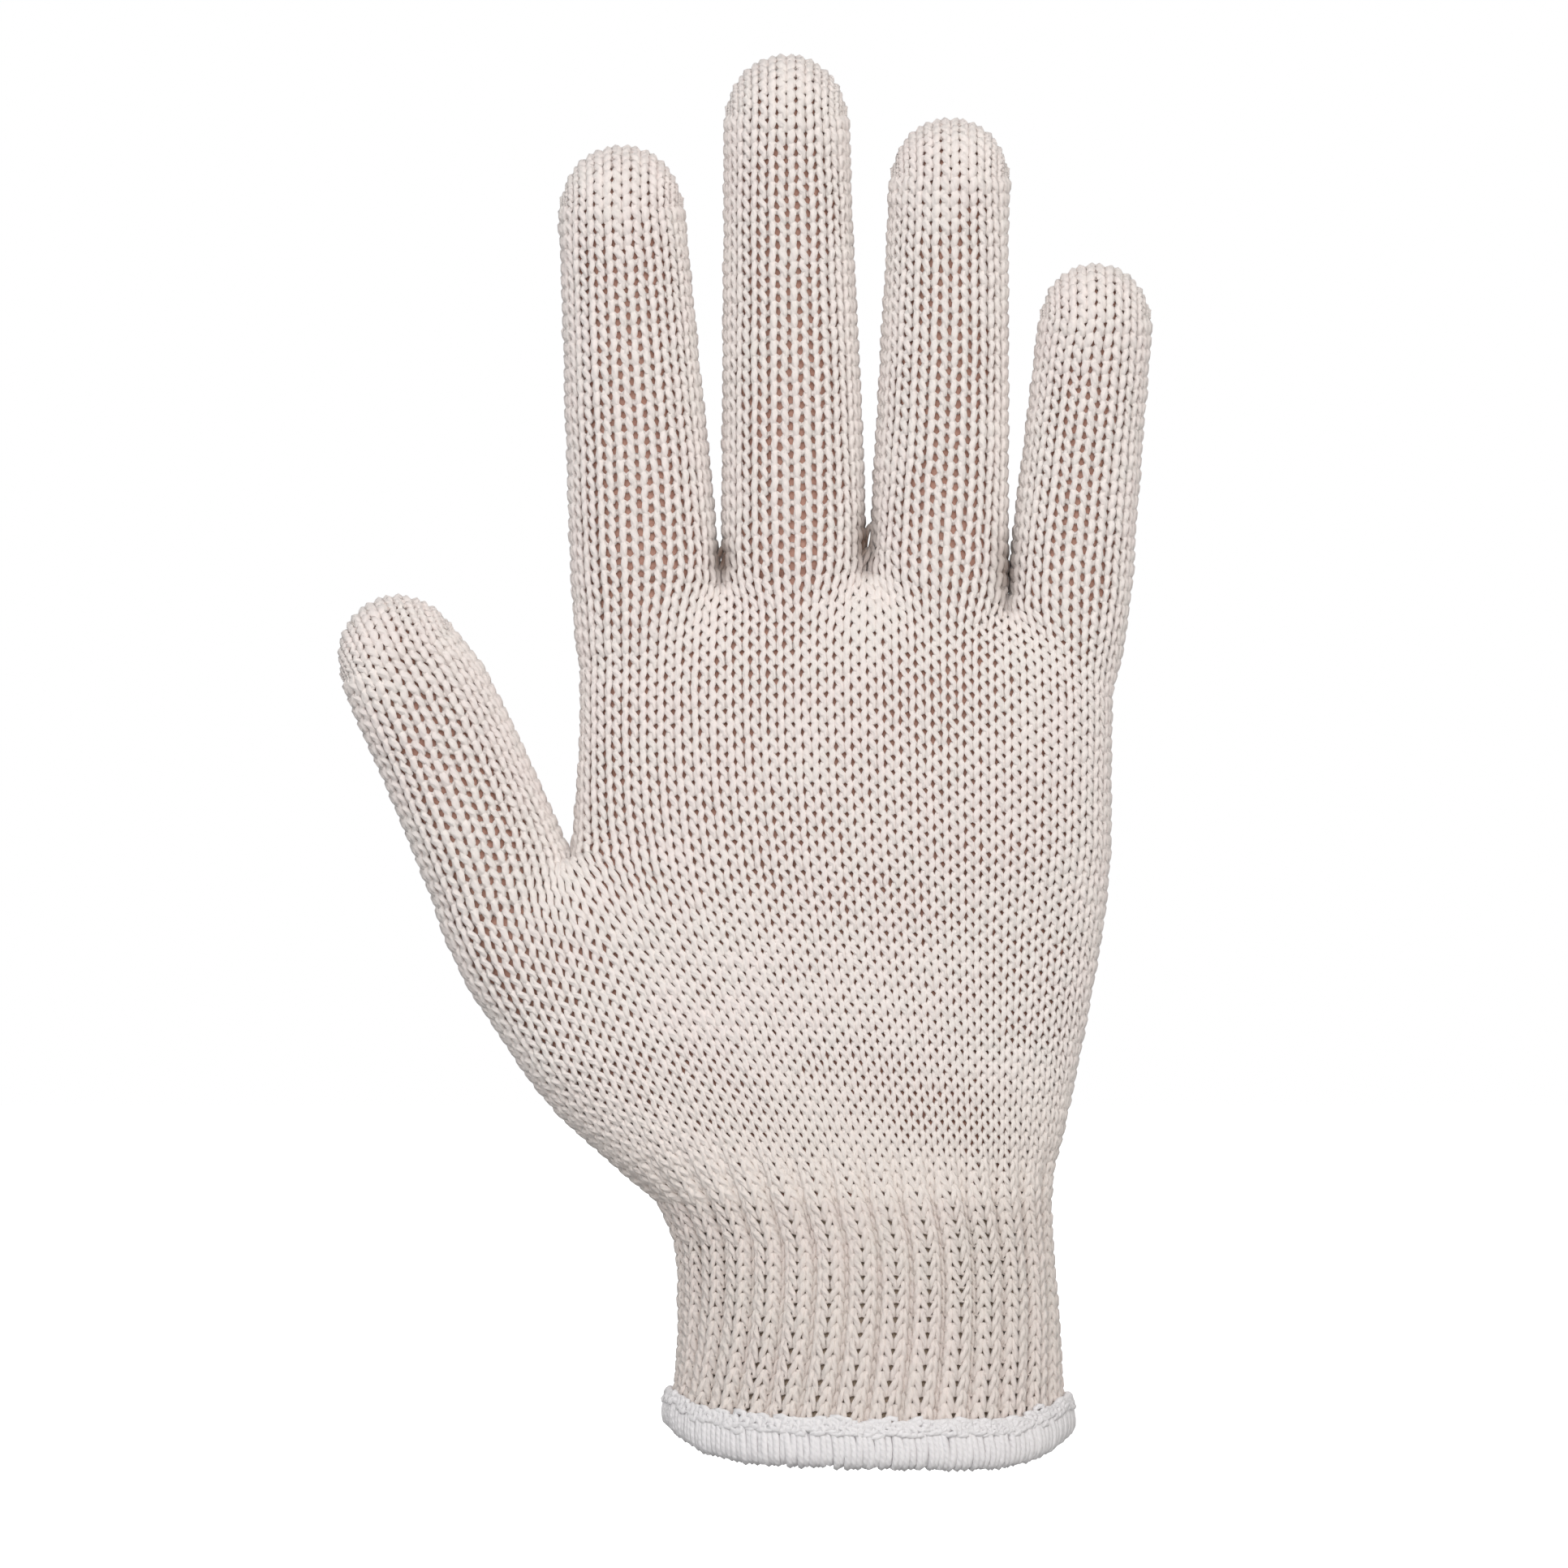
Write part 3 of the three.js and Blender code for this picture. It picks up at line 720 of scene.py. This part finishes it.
def course_strands(grid, below, above, path, fullness, closed_sides):
    """Middle line, outward direction and radius of the strand of each course.

    below and above hold the corners of the rows past the piece, left and right of each stitch. fullness is a
    factor of the yarn's radius for each stitch. closed_sides marks the places where a strand runs straight
    on, at the sides of a tip."""
    courses, wales = len(grid) - 1, grid.shape[1]
    left = np.vstack([below[0], grid, above[0]])
    right = np.vstack([below[1], np.roll(grid, -1, axis=1), above[1]])
    width = np.linalg.norm(place[right[1:-1]] - place[left[1:-1]], axis=-1)
    width = (width[:-1] + width[1:]) / 2
    height = np.linalg.norm(place[left[2:-1]] - place[left[1:-2]], axis=-1)
    height = (height + np.roll(height, -1, axis=1)) / 2
    path = np.broadcast_to(path, (courses, *np.shape(path)[-2:]))
    base, lean, up, out, girth = np.moveaxis(path, -1, 0)[:, :, None]
    samples = base.shape[-1]
    size = (courses, wales, 1)
    headward = np.clip(up, 0, 1)
    opening = np.clip(LEAN * (STITCH_WIDTH / width) ** LEAN_STRETCH, *LEAN_LIMITS)[..., None]
    opening = opening + dice.normal(0, LEAN_NOISE, size)
    across = base + lean * opening + dice.normal(0, ACROSS_NOISE, size) * headward
    up = up + dice.normal(0, UP_NOISE, size) * headward
    crowding = np.clip(height / STITCH_HEIGHT, CROWDING_LIMIT, 1)[..., None]
    out = out * (1 + dice.normal(0, OUT_NOISE, size)) + dice.normal(0, OUT_SHIFT, size) * headward
    out = out * crowding
    plain = np.zeros(size, bool) if closed_sides is None else closed_sides[..., None]
    across = np.where(plain, np.arange(samples) / samples, across)
    up = np.where(plain, CLOSED_UP, up)
    out = np.where(plain, CLOSED_OUT[0] * headward + CLOSED_OUT[1], out)
    across = np.clip(across, 0, 1)[..., None]
    up = np.clip(up, *ROW_LIMITS)
    floor_row = np.floor(up).astype(int)
    rise = (up - floor_row)[..., None]
    row = np.arange(courses)[:, None, None] + 1 + floor_row
    wale = np.arange(wales)[None, :, None]

    def spread(values):
        """Values of the corners, read at the points of the strands."""
        low = values[left][row, wale] * (1 - across) + values[right][row, wale] * across
        high = values[left][row + 1, wale] * (1 - across) + values[right][row + 1, wale] * across
        return low * (1 - rise) + high * rise

    outside = unit(spread(outward))
    middle = spread(place) + out[..., None] * outside
    stretch = np.maximum(1, (width / height) / (STITCH_WIDTH / STITCH_HEIGHT))
    scale = np.clip(np.sqrt(width * height / (STITCH_WIDTH * STITCH_HEIGHT)), *GIRTH_LIMITS)
    scale = scale * fullness * stretch**-STRETCH_THINNING
    tension = TENSION_CHANGE * slow_change(courses, wales)
    scale = scale * (1 + tension + dice.normal(0, GIRTH_NOISE, (courses, wales)))
    radius = np.repeat(scale[..., None], samples, axis=2).reshape(courses, -1)
    waver = smoothed(dice.normal(0, WAVER_NOISE, radius.shape), WAVER_LENGTH)
    radius = YARN_RADIUS * smoothed(radius * (1 + waver), samples // 2) * np.tile(girth[:, 0], wales)
    shape = (courses, wales * samples, 3)
    return middle.reshape(shape), outside.reshape(shape), radius


def swept(middle, outside, radius, sides):
    """Vertices, faces and UV of closed tubes along closed strands; U is the way along the yarn in mm."""
    strands, steps = radius.shape
    ahead = unit(np.roll(middle, -1, axis=1) - np.roll(middle, 1, axis=1))
    side = unit(np.cross(ahead, outside))
    up = np.cross(side, ahead)
    angle = (np.arange(sides) / sides * TAU)[:, None]
    ring = up[:, :, None] * np.cos(angle) + side[:, :, None] * np.sin(angle)
    points = middle[:, :, None] + radius[:, :, None, None] * ring
    number = np.arange(strands * steps * sides).reshape(strands, steps, sides)
    on, beside = np.roll(number, -1, axis=1), np.roll(number, -1, axis=2)
    both = np.roll(on, -1, axis=2)
    faces = np.stack([number, beside, both, on], -1).reshape(-1, 4)
    length = np.linalg.norm(np.roll(middle, -1, axis=1) - middle, axis=-1)
    way = np.concatenate([np.zeros((strands, 1)), np.cumsum(length, axis=1)], axis=1)
    low = np.broadcast_to(way[:, :-1, None], number.shape)
    high = np.broadcast_to(way[:, 1:, None], number.shape)
    near = np.broadcast_to(np.arange(sides) / sides, number.shape)
    far = near + 1 / sides
    around = [(low, near), (low, far), (high, far), (high, near)]
    uv = np.stack([np.stack(corner, -1) for corner in around], -2).reshape(-1, 4, 2)
    return points.reshape(-1, 3), faces, uv


def mesh_piece(name, node, parts, materials):
    """A finished piece from arrays in mm: points, faces, UV and the number of the material of each part."""
    points, faces, uv, paint = [], [], [], []
    start = 0
    for part_points, part_faces, part_uv, material in parts:
        points.append(part_points)
        faces.append(part_faces + start)
        uv.append(part_uv)
        paint.append(np.broadcast_to(material, len(part_faces)))
        start += len(part_points)
    points, faces, uv, paint = [np.concatenate(rows) for rows in (points, faces, uv, paint)]
    mesh = bpy.data.meshes.new(name)
    mesh.vertices.add(len(points))
    mesh.vertices.foreach_set("co", (points * MM).astype(np.float32).ravel())
    mesh.loops.add(faces.size)
    mesh.loops.foreach_set("vertex_index", faces.astype(np.int32).ravel())
    mesh.polygons.add(len(faces))
    mesh.polygons.foreach_set("loop_start", np.arange(0, faces.size, 4, dtype=np.int32))
    for material in materials:
        mesh.materials.append(material)
    mesh.polygons.foreach_set("material_index", paint.astype(np.int32))
    mesh.update(calc_edges=True)
    mesh.uv_layers.new(name="along_yarn").data.foreach_set("uv", uv.astype(np.float32).ravel())
    mesh.polygons.foreach_set("use_smooth", np.ones(len(faces), bool))
    mesh.validate()
    piece = bpy.data.objects.new(name, mesh)
    scene.collection.objects.link(piece)
    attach(piece, "root")
    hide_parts(node)


# The inside of the knit: a soft skin of painted shade closes its holes, dark warm brown where they would lie
# in shade.
# It is a thin closed shell behind the stitches of each piece, and part of that piece's mesh.
SHADE_SKIN_DEPTH = 0.85               # of the skin's outer face below the middle of the wall
SHADE_SKIN_THICKNESS = 0.2


def shade_skin_shell(grid):
    """A thin closed skin of painted shade behind the stitches of one piece."""
    rows, wales = grid.shape
    inward = [place[grid] - outward[grid] * (SHADE_SKIN_DEPTH + layer * SHADE_SKIN_THICKNESS) for layer in (0, 1)]
    points = np.concatenate([layer.reshape(-1, 3) for layer in inward])
    number = np.arange(rows * wales).reshape(rows, wales)
    right = np.roll(number, -1, axis=1)
    deep = rows * wales
    front = np.stack([number[:-1], right[:-1], right[1:], number[1:]], -1).reshape(-1, 4)
    back = front[:, ::-1] + deep
    low = np.stack([number[0], number[0] + deep, right[0] + deep, right[0]], -1)
    high = np.stack([number[-1], right[-1], right[-1] + deep, number[-1] + deep], -1)
    faces = np.concatenate([front, back, low, high])
    paint = np.repeat([1, 0], [len(front), len(faces) - len(front)])
    return points, faces, np.zeros((len(faces), 4, 2)), paint


# The yarn: three-ply string of natural cotton, off-white with slow changes of tone, and greyer where elastic
# runs along with it in the cuff. Deep in the crotches between the fingers it is darkened with painted shade.
PLIES = 3
FIBRE_STRETCH = (0.35, 9.0, 2.0)       # of the fibres' noise along the yarn, along its twist and around it
FIBRE_HEIGHT = 0.9             # of fibres and lumps in the bump, next to the plies
LUMP_HEIGHT = 0.5
ROSE_SHARE = 0.6
GREY_SHARE = 0.45
FIBRE_SHADOW = 0.72            # of the yarn's colour between two fibres
WRIST_FADE = (0.043, 0.066)    # heights in m over which the heel's yarn gets the palm's colour
# x, z, half width and half height of each patch of painted shade in a crease, mm
PAINTED_CREASE_SHADES = [
    (-24.7, 149.6, 4.5, 7.0),
    (-1.0, 152.0, 4.5, 10.5),
    (22.6, 148.0, 5.5, 12.0),
]
CREASE_DEPTH = 11.5
CREASE_SHADE_COLOUR = (0.19, 0.115, 0.08, 1)
CREASE_FADE = (0.25, 1.0)      # from a crease's middle to its border


def yarn_material(name, cream, rose, grey, ply_length, ply_height, wrist=None):
    """String yarn: three soft plies, short fibres along their twist, slow changes of its natural colour."""
    material, shader, shade = new_paint(name, {
        "Roughness": 0.95,
        "Specular IOR Level": 0.2,
        "Sheen Weight": 0.25,
        "Sheen Roughness": 0.6,
    })
    yarn_place = shade.node("ShaderNodeUVMap", uv_map="along_yarn")
    along, around = [shade.node("ShaderNodeSeparateXYZ", {0: yarn_place}, output=axis) for axis in (0, 1)]
    where = shade.node("ShaderNodeTexCoord", output="Object")
    twist = along * (1 / ply_length) + around
    plies = shade.maths("SINE", twist * (PLIES * TAU))
    stretched = [part * stretch for part, stretch in zip((along, twist, around), FIBRE_STRETCH)]
    fibres = shade.node("ShaderNodeCombineXYZ", dict(enumerate(stretched))).noise(scale=2.2, detail=3.0)
    lumps = where.noise(scale=900.0, detail=2.0)
    warm = where.noise(scale=55.0, detail=2.0).ranged(0.35, 0.65)
    dull = where.noise(scale=260.0, detail=2.0).ranged(0.45, 0.7)
    colour = shade.mixed(cream, rose, warm * ROSE_SHARE)
    colour = shade.mixed(colour, grey, dull * GREY_SHARE)
    if wrist:
        above = shade.node("ShaderNodeSeparateXYZ", {0: where}, output=2).ranged(*WRIST_FADE)
        colour = shade.mixed(wrist, colour, above)
        # Painted shade: the palm's yarn darkens towards dark brown deep in the crotches between the fingers.
        for x, z, half_width, half_height in PAINTED_CREASE_SHADES:
            offset = where.vector_maths("SUBTRACT", (x * MM, 0, z * MM))
            scaled = (1 / (half_width * MM), 1 / (CREASE_DEPTH * MM), 1 / (half_height * MM))
            near = offset.vector_maths("MULTIPLY", scaled).length().ranged(*CREASE_FADE, 1.0, 0.0)
            colour = shade.mixed(colour, CREASE_SHADE_COLOUR, near * near)
    shadow = tuple(FIBRE_SHADOW * channel for channel in cream[:3]) + (1,)
    colour = shade.mixed(colour, shadow, fibres.ranged(0.25, 0.5, 0.25, 0.0))
    height = plies * ply_height + fibres * FIBRE_HEIGHT + lumps * LUMP_HEIGHT
    bump = shade.node("ShaderNodeBump", {"Height": height, "Strength": 0.75, "Distance": 0.00013})
    colour.into(shader.inputs["Base Color"])
    bump.into(shader.inputs["Normal"])
    return material


def painted_shade_material(name, dark, light):
    """Painted shade for the holes of the knit: a dull, soft skin between a dark and a lighter warm brown."""
    material, shader, shade = new_paint(name, {"Roughness": 1.0, "Specular IOR Level": 0.0})
    fibres = shade.node("ShaderNodeTexCoord", output="Object").noise(scale=1400.0, detail=3.0)
    bump = shade.node("ShaderNodeBump", {"Height": fibres, "Strength": 0.8, "Distance": 0.0002})
    shade.mixed(dark, light, fibres).into(shader.inputs["Base Color"])
    bump.into(shader.inputs["Normal"])
    return material


palm_yarn = yarn_material(
    "cream_string_yarn", (0.90, 0.83, 0.79, 1), (0.90, 0.80, 0.77, 1), (0.85, 0.81, 0.765, 1), 5.2, 0.5,
    wrist=(0.85, 0.775, 0.725, 1),
)
cuff_yarn = yarn_material(
    "cuff_string_yarn", (0.81, 0.735, 0.685, 1), (0.81, 0.715, 0.675, 1), (0.75, 0.70, 0.65, 1), 4.4, 0.5,
)
# Dark warm skins of painted shade, which stand for the shade seen through the holes of the knit.
knit_hole_shade = painted_shade_material("painted_shade_skin_knit", (0.55, 0.30, 0.235, 1), (0.77, 0.50, 0.41, 1))
cuff_hole_shade = painted_shade_material("painted_shade_skin_cuff", (0.42, 0.32, 0.24, 1), (0.60, 0.49, 0.39, 1))


def knit_piece(name, node, grid, below, above, fullness, closed_sides=None,
               path=STITCH_PATH, paints=(palm_yarn, knit_hole_shade), tails=()):
    """One piece of the glove: its courses and the skin of painted shade behind them."""
    strands = course_strands(grid, below, above, path, fullness, closed_sides)
    parts = [(*swept(*strands, YARN_SIDES), 0), shade_skin_shell(grid), *tails]
    mesh_piece(name, node, parts, paints)


def sides_of(row):
    """A row past the piece, as the left and right corners of each stitch."""
    return row, np.roll(row, -1)


def over_tip(grid):
    """The row past a tip's last one: the courses on the other side."""
    mirrored = grid[-2][::-1]
    return mirrored, np.roll(mirrored, -1)


def tip_sides(grid, tip_courses):
    """Marks the two sides of each tip course, where there is no wale."""
    marks = np.zeros((len(grid) - 1, grid.shape[1]), bool)
    half = grid.shape[1] // 2
    marks[-tip_courses:, [half - 1, -1]] = True
    return marks


TIP_FULLNESS = 1.42            # of the yarn at fingertips, where the knit isn't stretched
TIP_REACH = 1.6                # how far down the tip's fullness reaches, in lengths of the tip
SIDE_FULLNESS = -0.06          # what is added to the fullness at the sides of fingers and thumb
PALM_SIDE_FULLNESS = 0.08      # and at the sides of the palm


def side_fullness(wales, more):
    """The yarn's fullness round a tube, which changes by more at its left and right sides."""
    return 1 + more * np.cos(even_places(wales) * TAU) ** 2


def tube_fullness(grid, tip_courses, usual):
    """The yarn's fullness over a finger or the thumb: usual at front and back, and fuller at the tip."""
    from_tip = np.arange(len(grid) - 1)[::-1]
    share = np.clip(TIP_REACH - from_tip / tip_courses, 0, 1)[:, None]
    sides = usual * side_fullness(grid.shape[1], SIDE_FULLNESS)
    return sides + (TIP_FULLNESS - sides) * share


# The four fingers: tubes of string yarn, each knitted round from its first course on the palm's last loops.
# The worn knit is stretched sideways there, so that its wales stand apart as upright ropes.
for finger, grid in zip(FINGERS, finger_grids):
    tip_courses, usual = finger[10:]
    knit_piece(
        finger[0] + "_knit", finger[0], grid, sides_of(finger_wales(upper_grid[-2], finger)), over_tip(grid),
        tube_fullness(grid, tip_courses, usual), tip_sides(grid, tip_courses), FINGER_PATH,
    )

# The upper palm, whose last course is taken up by the fingers' first courses. In the crotches the knotted
# ends of the fingers' yarn show as short thick loops.
# x, z, reach across, reach up, and how far the loop stands out of the crotch, mm
YARN_TAILS = [
    (21.4, 143.2, 1.8, 1.2, 4.0),
    (-0.9, 149.6, 0.9, 1.5, 3.2),
    (0.1, 152.8, 0.4, 2.4, 1.6),
    (-24.9, 149.6, 0.6, 2.1, 2.2),
]
TAIL_STEPS = 20
TAIL_RADIUS = 0.5
TAIL_WIDTH = 0.25              # of a loop, as a share of its reach
TAIL_ARCH = 0.5                # how far its middle stands out, mm
TAIL_TILT = 0.3


def yarn_tail(x, z, across, up, out):
    """A loop of yarn that lies double in a crotch."""
    angle = np.arange(TAIL_STEPS) / TAIL_STEPS * TAU
    along = np.cos(angle)
    beside = np.sin(angle)
    middle = np.stack([
        x + across * along - TAIL_WIDTH * beside * up,
        -out - side_bend(x) + TAIL_ARCH * along**2 + TAIL_TILT * beside,
        z + up * along + TAIL_WIDTH * beside * across,
    ], -1)
    outside = np.broadcast_to([0.0, -1.0, 0.0], middle.shape)
    radius = np.full((1, TAIL_STEPS), TAIL_RADIUS)
    return *swept(middle[None], outside[None], radius, YARN_SIDES), 0


above_left = np.zeros(UPPER_WALES, int)
above_right = np.zeros(UPPER_WALES, int)
for finger, grid in zip(FINGERS, finger_grids):
    first, last = finger[7:9]
    half = grid.shape[1] // 2
    for at, line in ((first, grid[1, :half]), (UPPER_WALES - 1 - last, grid[1, half:])):
        above_left[at:at + half - 1] = line[:-1]
        above_right[at:at + half - 1] = line[1:]
index_grid, little_grid = finger_grids[0], finger_grids[-1]
little_side = little_grid.shape[1] // 2
above_left[FRONT_LINES - 1] = little_grid[1, little_side - 1]
above_right[FRONT_LINES - 1] = little_grid[1, little_side]
above_left[-1] = index_grid[1, -1]
above_right[-1] = index_grid[1, 0]
lower_part = lower_grid[-2, THUMB_LINES:THUMB_LINES + UPPER_WALES]
knit_piece(
    "four_finger_palm_knit", "four_finger_palm", upper_grid, sides_of(lower_part), (above_left, above_right),
    side_fullness(UPPER_WALES, PALM_SIDE_FULLNESS), tails=[yarn_tail(*tail) for tail in YARN_TAILS],
)

# The thumb: a tube of string yarn like the fingers, knitted on to the loops that the upper palm leaves free,
# and drawn shut over its tip.
THUMB_FULLNESS = 1.17
thumb_below = np.concatenate([lower_grid[-2, :THUMB_LINES + 1], lower_grid[-2, -THUMB_LINES - 1:]])
knit_piece(
    "thumb_knit", "thumb", thumb_grid, sides_of(thumb_below), over_tip(thumb_grid),
    tube_fullness(thumb_grid, THUMB_TIP_COURSES, THUMB_FULLNESS), tip_sides(thumb_grid, THUMB_TIP_COURSES),
    FINGER_PATH,
)

# The lower palm, one wide tube of string yarn. Near the cuff its courses still follow the ribs, and they turn
# into plain stitches over the first few. It is made as two pieces, the heel and the part at the thumb's root.
HEEL_COURSES = 11
HEEL_RIB_COURSES = 5           # courses over which the cuff's stitches turn into the palm's
HEEL_RIB_FULLNESS = (1.0, 1.12, 1.12)
above_left = np.concatenate([
    thumb_grid[1, :THUMB_LINES], upper_grid[1, :-1], thumb_grid[1, THUMB_LINES + 1:]])
above_right = np.concatenate([
    thumb_grid[1, 1:THUMB_LINES + 1], upper_grid[1, 1:], thumb_grid[1, THUMB_LINES + 2:], thumb_grid[1, :1]])
lower_fullness = side_fullness(LOWER_WALES, PALM_SIDE_FULLNESS)
still_full = np.clip(1 - np.arange(HEEL_COURSES) / HEEL_RIB_COURSES, 0, 1)[:, None]
heel_fullness = np.tile(HEEL_RIB_FULLNESS, RIBS) ** still_full
still_rib = np.clip(1 - np.arange(1, HEEL_COURSES + 1) / HEEL_RIB_COURSES, 0, 1)[:, None, None]
heel_path = STITCH_PATH + (CUFF_PATH - STITCH_PATH) * still_rib
knit_piece(
    "five_finger_palm_heel_knit", "five_finger_palm", lower_grid[:HEEL_COURSES + 1], sides_of(cuff_grid[-2]),
    sides_of(lower_grid[HEEL_COURSES + 1]), heel_fullness * lower_fullness, path=heel_path,
)
knit_piece(
    "five_finger_palm_knit", "five_finger_palm", lower_grid[HEEL_COURSES:],
    sides_of(lower_grid[HEEL_COURSES - 1]), (above_left, above_right), lower_fullness,
)

# The cuff, knitted in rib from the same string yarn with an elastic thread run in, which draws its wales
# together and holds the glove at the wrist.
CUFF_FULLNESS = (0.95, 1.12, 1.12)
knit_piece(
    "rib_cuff_knit", "rib_cuff", cuff_grid, sides_of(cuff_below), sides_of(lower_grid[1]),
    np.tile(CUFF_FULLNESS, RIBS), path=CUFF_PATH, paints=(cuff_yarn, cuff_hole_shade),
)

# The hem: white polyester thread that an overlock machine winds round the cuff's raw edge, so that it can't
# run. The wraps lie over a padded core, and two strands lock them in a braid along the upper edge.
# Its section: out from the cuff's outer face, up from the wrist opening, mm
HEM_PROFILE = np.array([
    (-0.6, 6.6),
    (0.2, 5.0),
    (0.6, 2.8),
    (0.4, 0.6),
    (-0.5, -0.3),
    (-1.7, 0.1),
    (-2.7, 2.2),
    (-2.7, 4.6),
    (-2.0, 6.4),
])
THREAD_SIDES = 6
HEM_THREAD_RADIUS = 0.66
HEM_THREAD_NOISE = 0.18        # of the radius
HEM_WRAPS = 190
HEM_STEPS = 14                 # points of a wrap
HEM_SWELLS = 93
HEM_SWELL_HEIGHT = 0.09
HEM_SINK = -0.35               # of the wraps below the section, mm
HEM_NOISE = 0.13
HEM_SLANT = 0.5                # how far a wrap slants, in wraps
HEM_STRAY = 0.35               # how far wraps stray sideways, in wraps
HEM_DRIFT = (0.04, 0.37)       # how far and how often wraps start early or late
SMOOTH_SHORT = 7               # points that random changes of the thread are smoothed over
SMOOTH_LONG = 9
EDGE_SAMPLES = 2001


def hem_place(share, out, up):
    """Points of the hem from shares of the way round, distances outwards and heights."""
    x, y = section_outline(up, np.asarray(share) * TAU, out)
    return np.stack([x, y - side_bend(x), up + edge_lift(x, up)], -1)


def even_round(count):
    """Shares of the hem's angle that lie at even distances."""
    angle = np.linspace(0, 1, EDGE_SAMPLES)
    way = way_along(hem_place(angle, 0.0, 0.0))
    return np.interp(even_places(count) * way[-1], way, angle)


closed_profile = np.vstack([HEM_PROFILE, HEM_PROFILE[:1]])
profile_way = way_along(closed_profile)
profile_centre = HEM_PROFILE.mean(axis=0)


def profile_at(shares, grow):
    """out and up at shares of the way round the hem's section."""
    at = np.mod(shares, 1) * profile_way[-1]
    points = np.stack([np.interp(at, profile_way, closed_profile[:, axis]) for axis in (0, 1)], -1)
    return points + np.broadcast_to(grow, len(points))[:, None] * unit(points - profile_centre)


def strand(shares, out, up, inner_out, inner_up, radius):
    """A closed strand of thread round the hem, which turns its outer side away from an inner line."""
    middle = hem_place(shares[0], out, up)
    outside = unit(middle - hem_place(shares[1], inner_out, inner_up))
    return *swept(middle[None], outside[None], radius, THREAD_SIDES), 0


def stray(rows, steps, amount, width):
    """Random changes along strands of thread, smoothed over a width of points."""
    return smoothed(dice.normal(0, amount, (rows, steps)), width)


steps = HEM_WRAPS * HEM_STEPS
share = even_round(steps)
wrap = np.arange(steps) / HEM_STEPS
swell = HEM_SWELL_HEIGHT * np.sin(TAU * np.arange(steps) / steps * HEM_SWELLS)
grow = HEM_SINK + swell + stray(1, steps, HEM_NOISE, SMOOTH_SHORT)[0]
section = profile_at(wrap + HEM_DRIFT[0] * np.sin(TAU * wrap * HEM_DRIFT[1]), grow)
slant = HEM_SLANT * np.sin(TAU * wrap) / HEM_WRAPS
uneven = stray(1, steps, 1.0, SMOOTH_LONG)[0] * HEM_STRAY / HEM_WRAPS
parts = [strand(
    (share + slant + uneven, share), *section.T, *profile_centre,
    HEM_THREAD_RADIUS * (1 + stray(1, steps, HEM_THREAD_NOISE, SMOOTH_LONG)),
)]

BRAID_LINKS = 86
BRAID_STEPS = 10               # points of a link
BRAID_RADIUS = 0.52
BRAID_RADIUS_NOISE = 0.3
BRAID_PLACE = (0.25, 5.8)      # out and up of the braid's middle
BRAID_WAVE = (-0.12, 0.9)      # out and up, how far a strand swings in each link
BRAID_CROSSING = 0.2           # how far the strands pass over each other
BRAID_SLANT = 0.35             # in links
BRAID_WANDER = 0.9
BRAID_WANDER_OUT = 0.3         # share of the wander that goes outwards
BRAID_BACK = 3                 # from the braid to the line that it turns away from, mm
steps = BRAID_LINKS * BRAID_STEPS
share = even_round(steps)
for turned in (0.0, 0.5):
    link = (np.arange(steps) / BRAID_STEPS + turned) * TAU
    wander = stray(2, steps, BRAID_WANDER, SMOOTH_LONG)
    up = BRAID_PLACE[1] + BRAID_WAVE[1] * np.cos(link) + wander[0]
    out = BRAID_PLACE[0] + BRAID_WAVE[0] * np.cos(link) + BRAID_CROSSING * np.sin(2 * link)
    out = out + BRAID_WANDER_OUT * wander[1]
    slant = BRAID_SLANT * np.sin(2 * link) / BRAID_LINKS
    radius = BRAID_RADIUS * (1 + stray(1, steps, BRAID_RADIUS_NOISE, SMOOTH_LONG))
    parts.append(strand((share + slant, share), out, up, out - BRAID_BACK, up, radius))

CORE_STEPS = 120               # points round the wrist
CORE_LINES = 12                # points round its section
CORE_SINK = -0.42
core_share = even_round(CORE_STEPS)
core_section = profile_at(np.arange(CORE_LINES) / CORE_LINES, CORE_SINK)
core_points = np.concatenate([hem_place(core_share, out, up) for out, up in core_section])
number = np.arange(len(core_points)).reshape(CORE_LINES, CORE_STEPS)
on = np.roll(number, -1, axis=0)
core_faces = np.stack([number, on, np.roll(on, -1, axis=1), np.roll(number, -1, axis=1)], -1).reshape(-1, 4)
parts.append((core_points, core_faces, np.zeros((len(core_faces), 4, 2)), 0))
hem_thread = yarn_material(
    "white_overlock_thread", (0.86, 0.84, 0.845, 1), (0.86, 0.83, 0.84, 1), (0.82, 0.80, 0.81, 1), 3.0, 0.3,
)
mesh_piece("hem_overlock_thread", "hem_overlock", parts, [hem_thread])
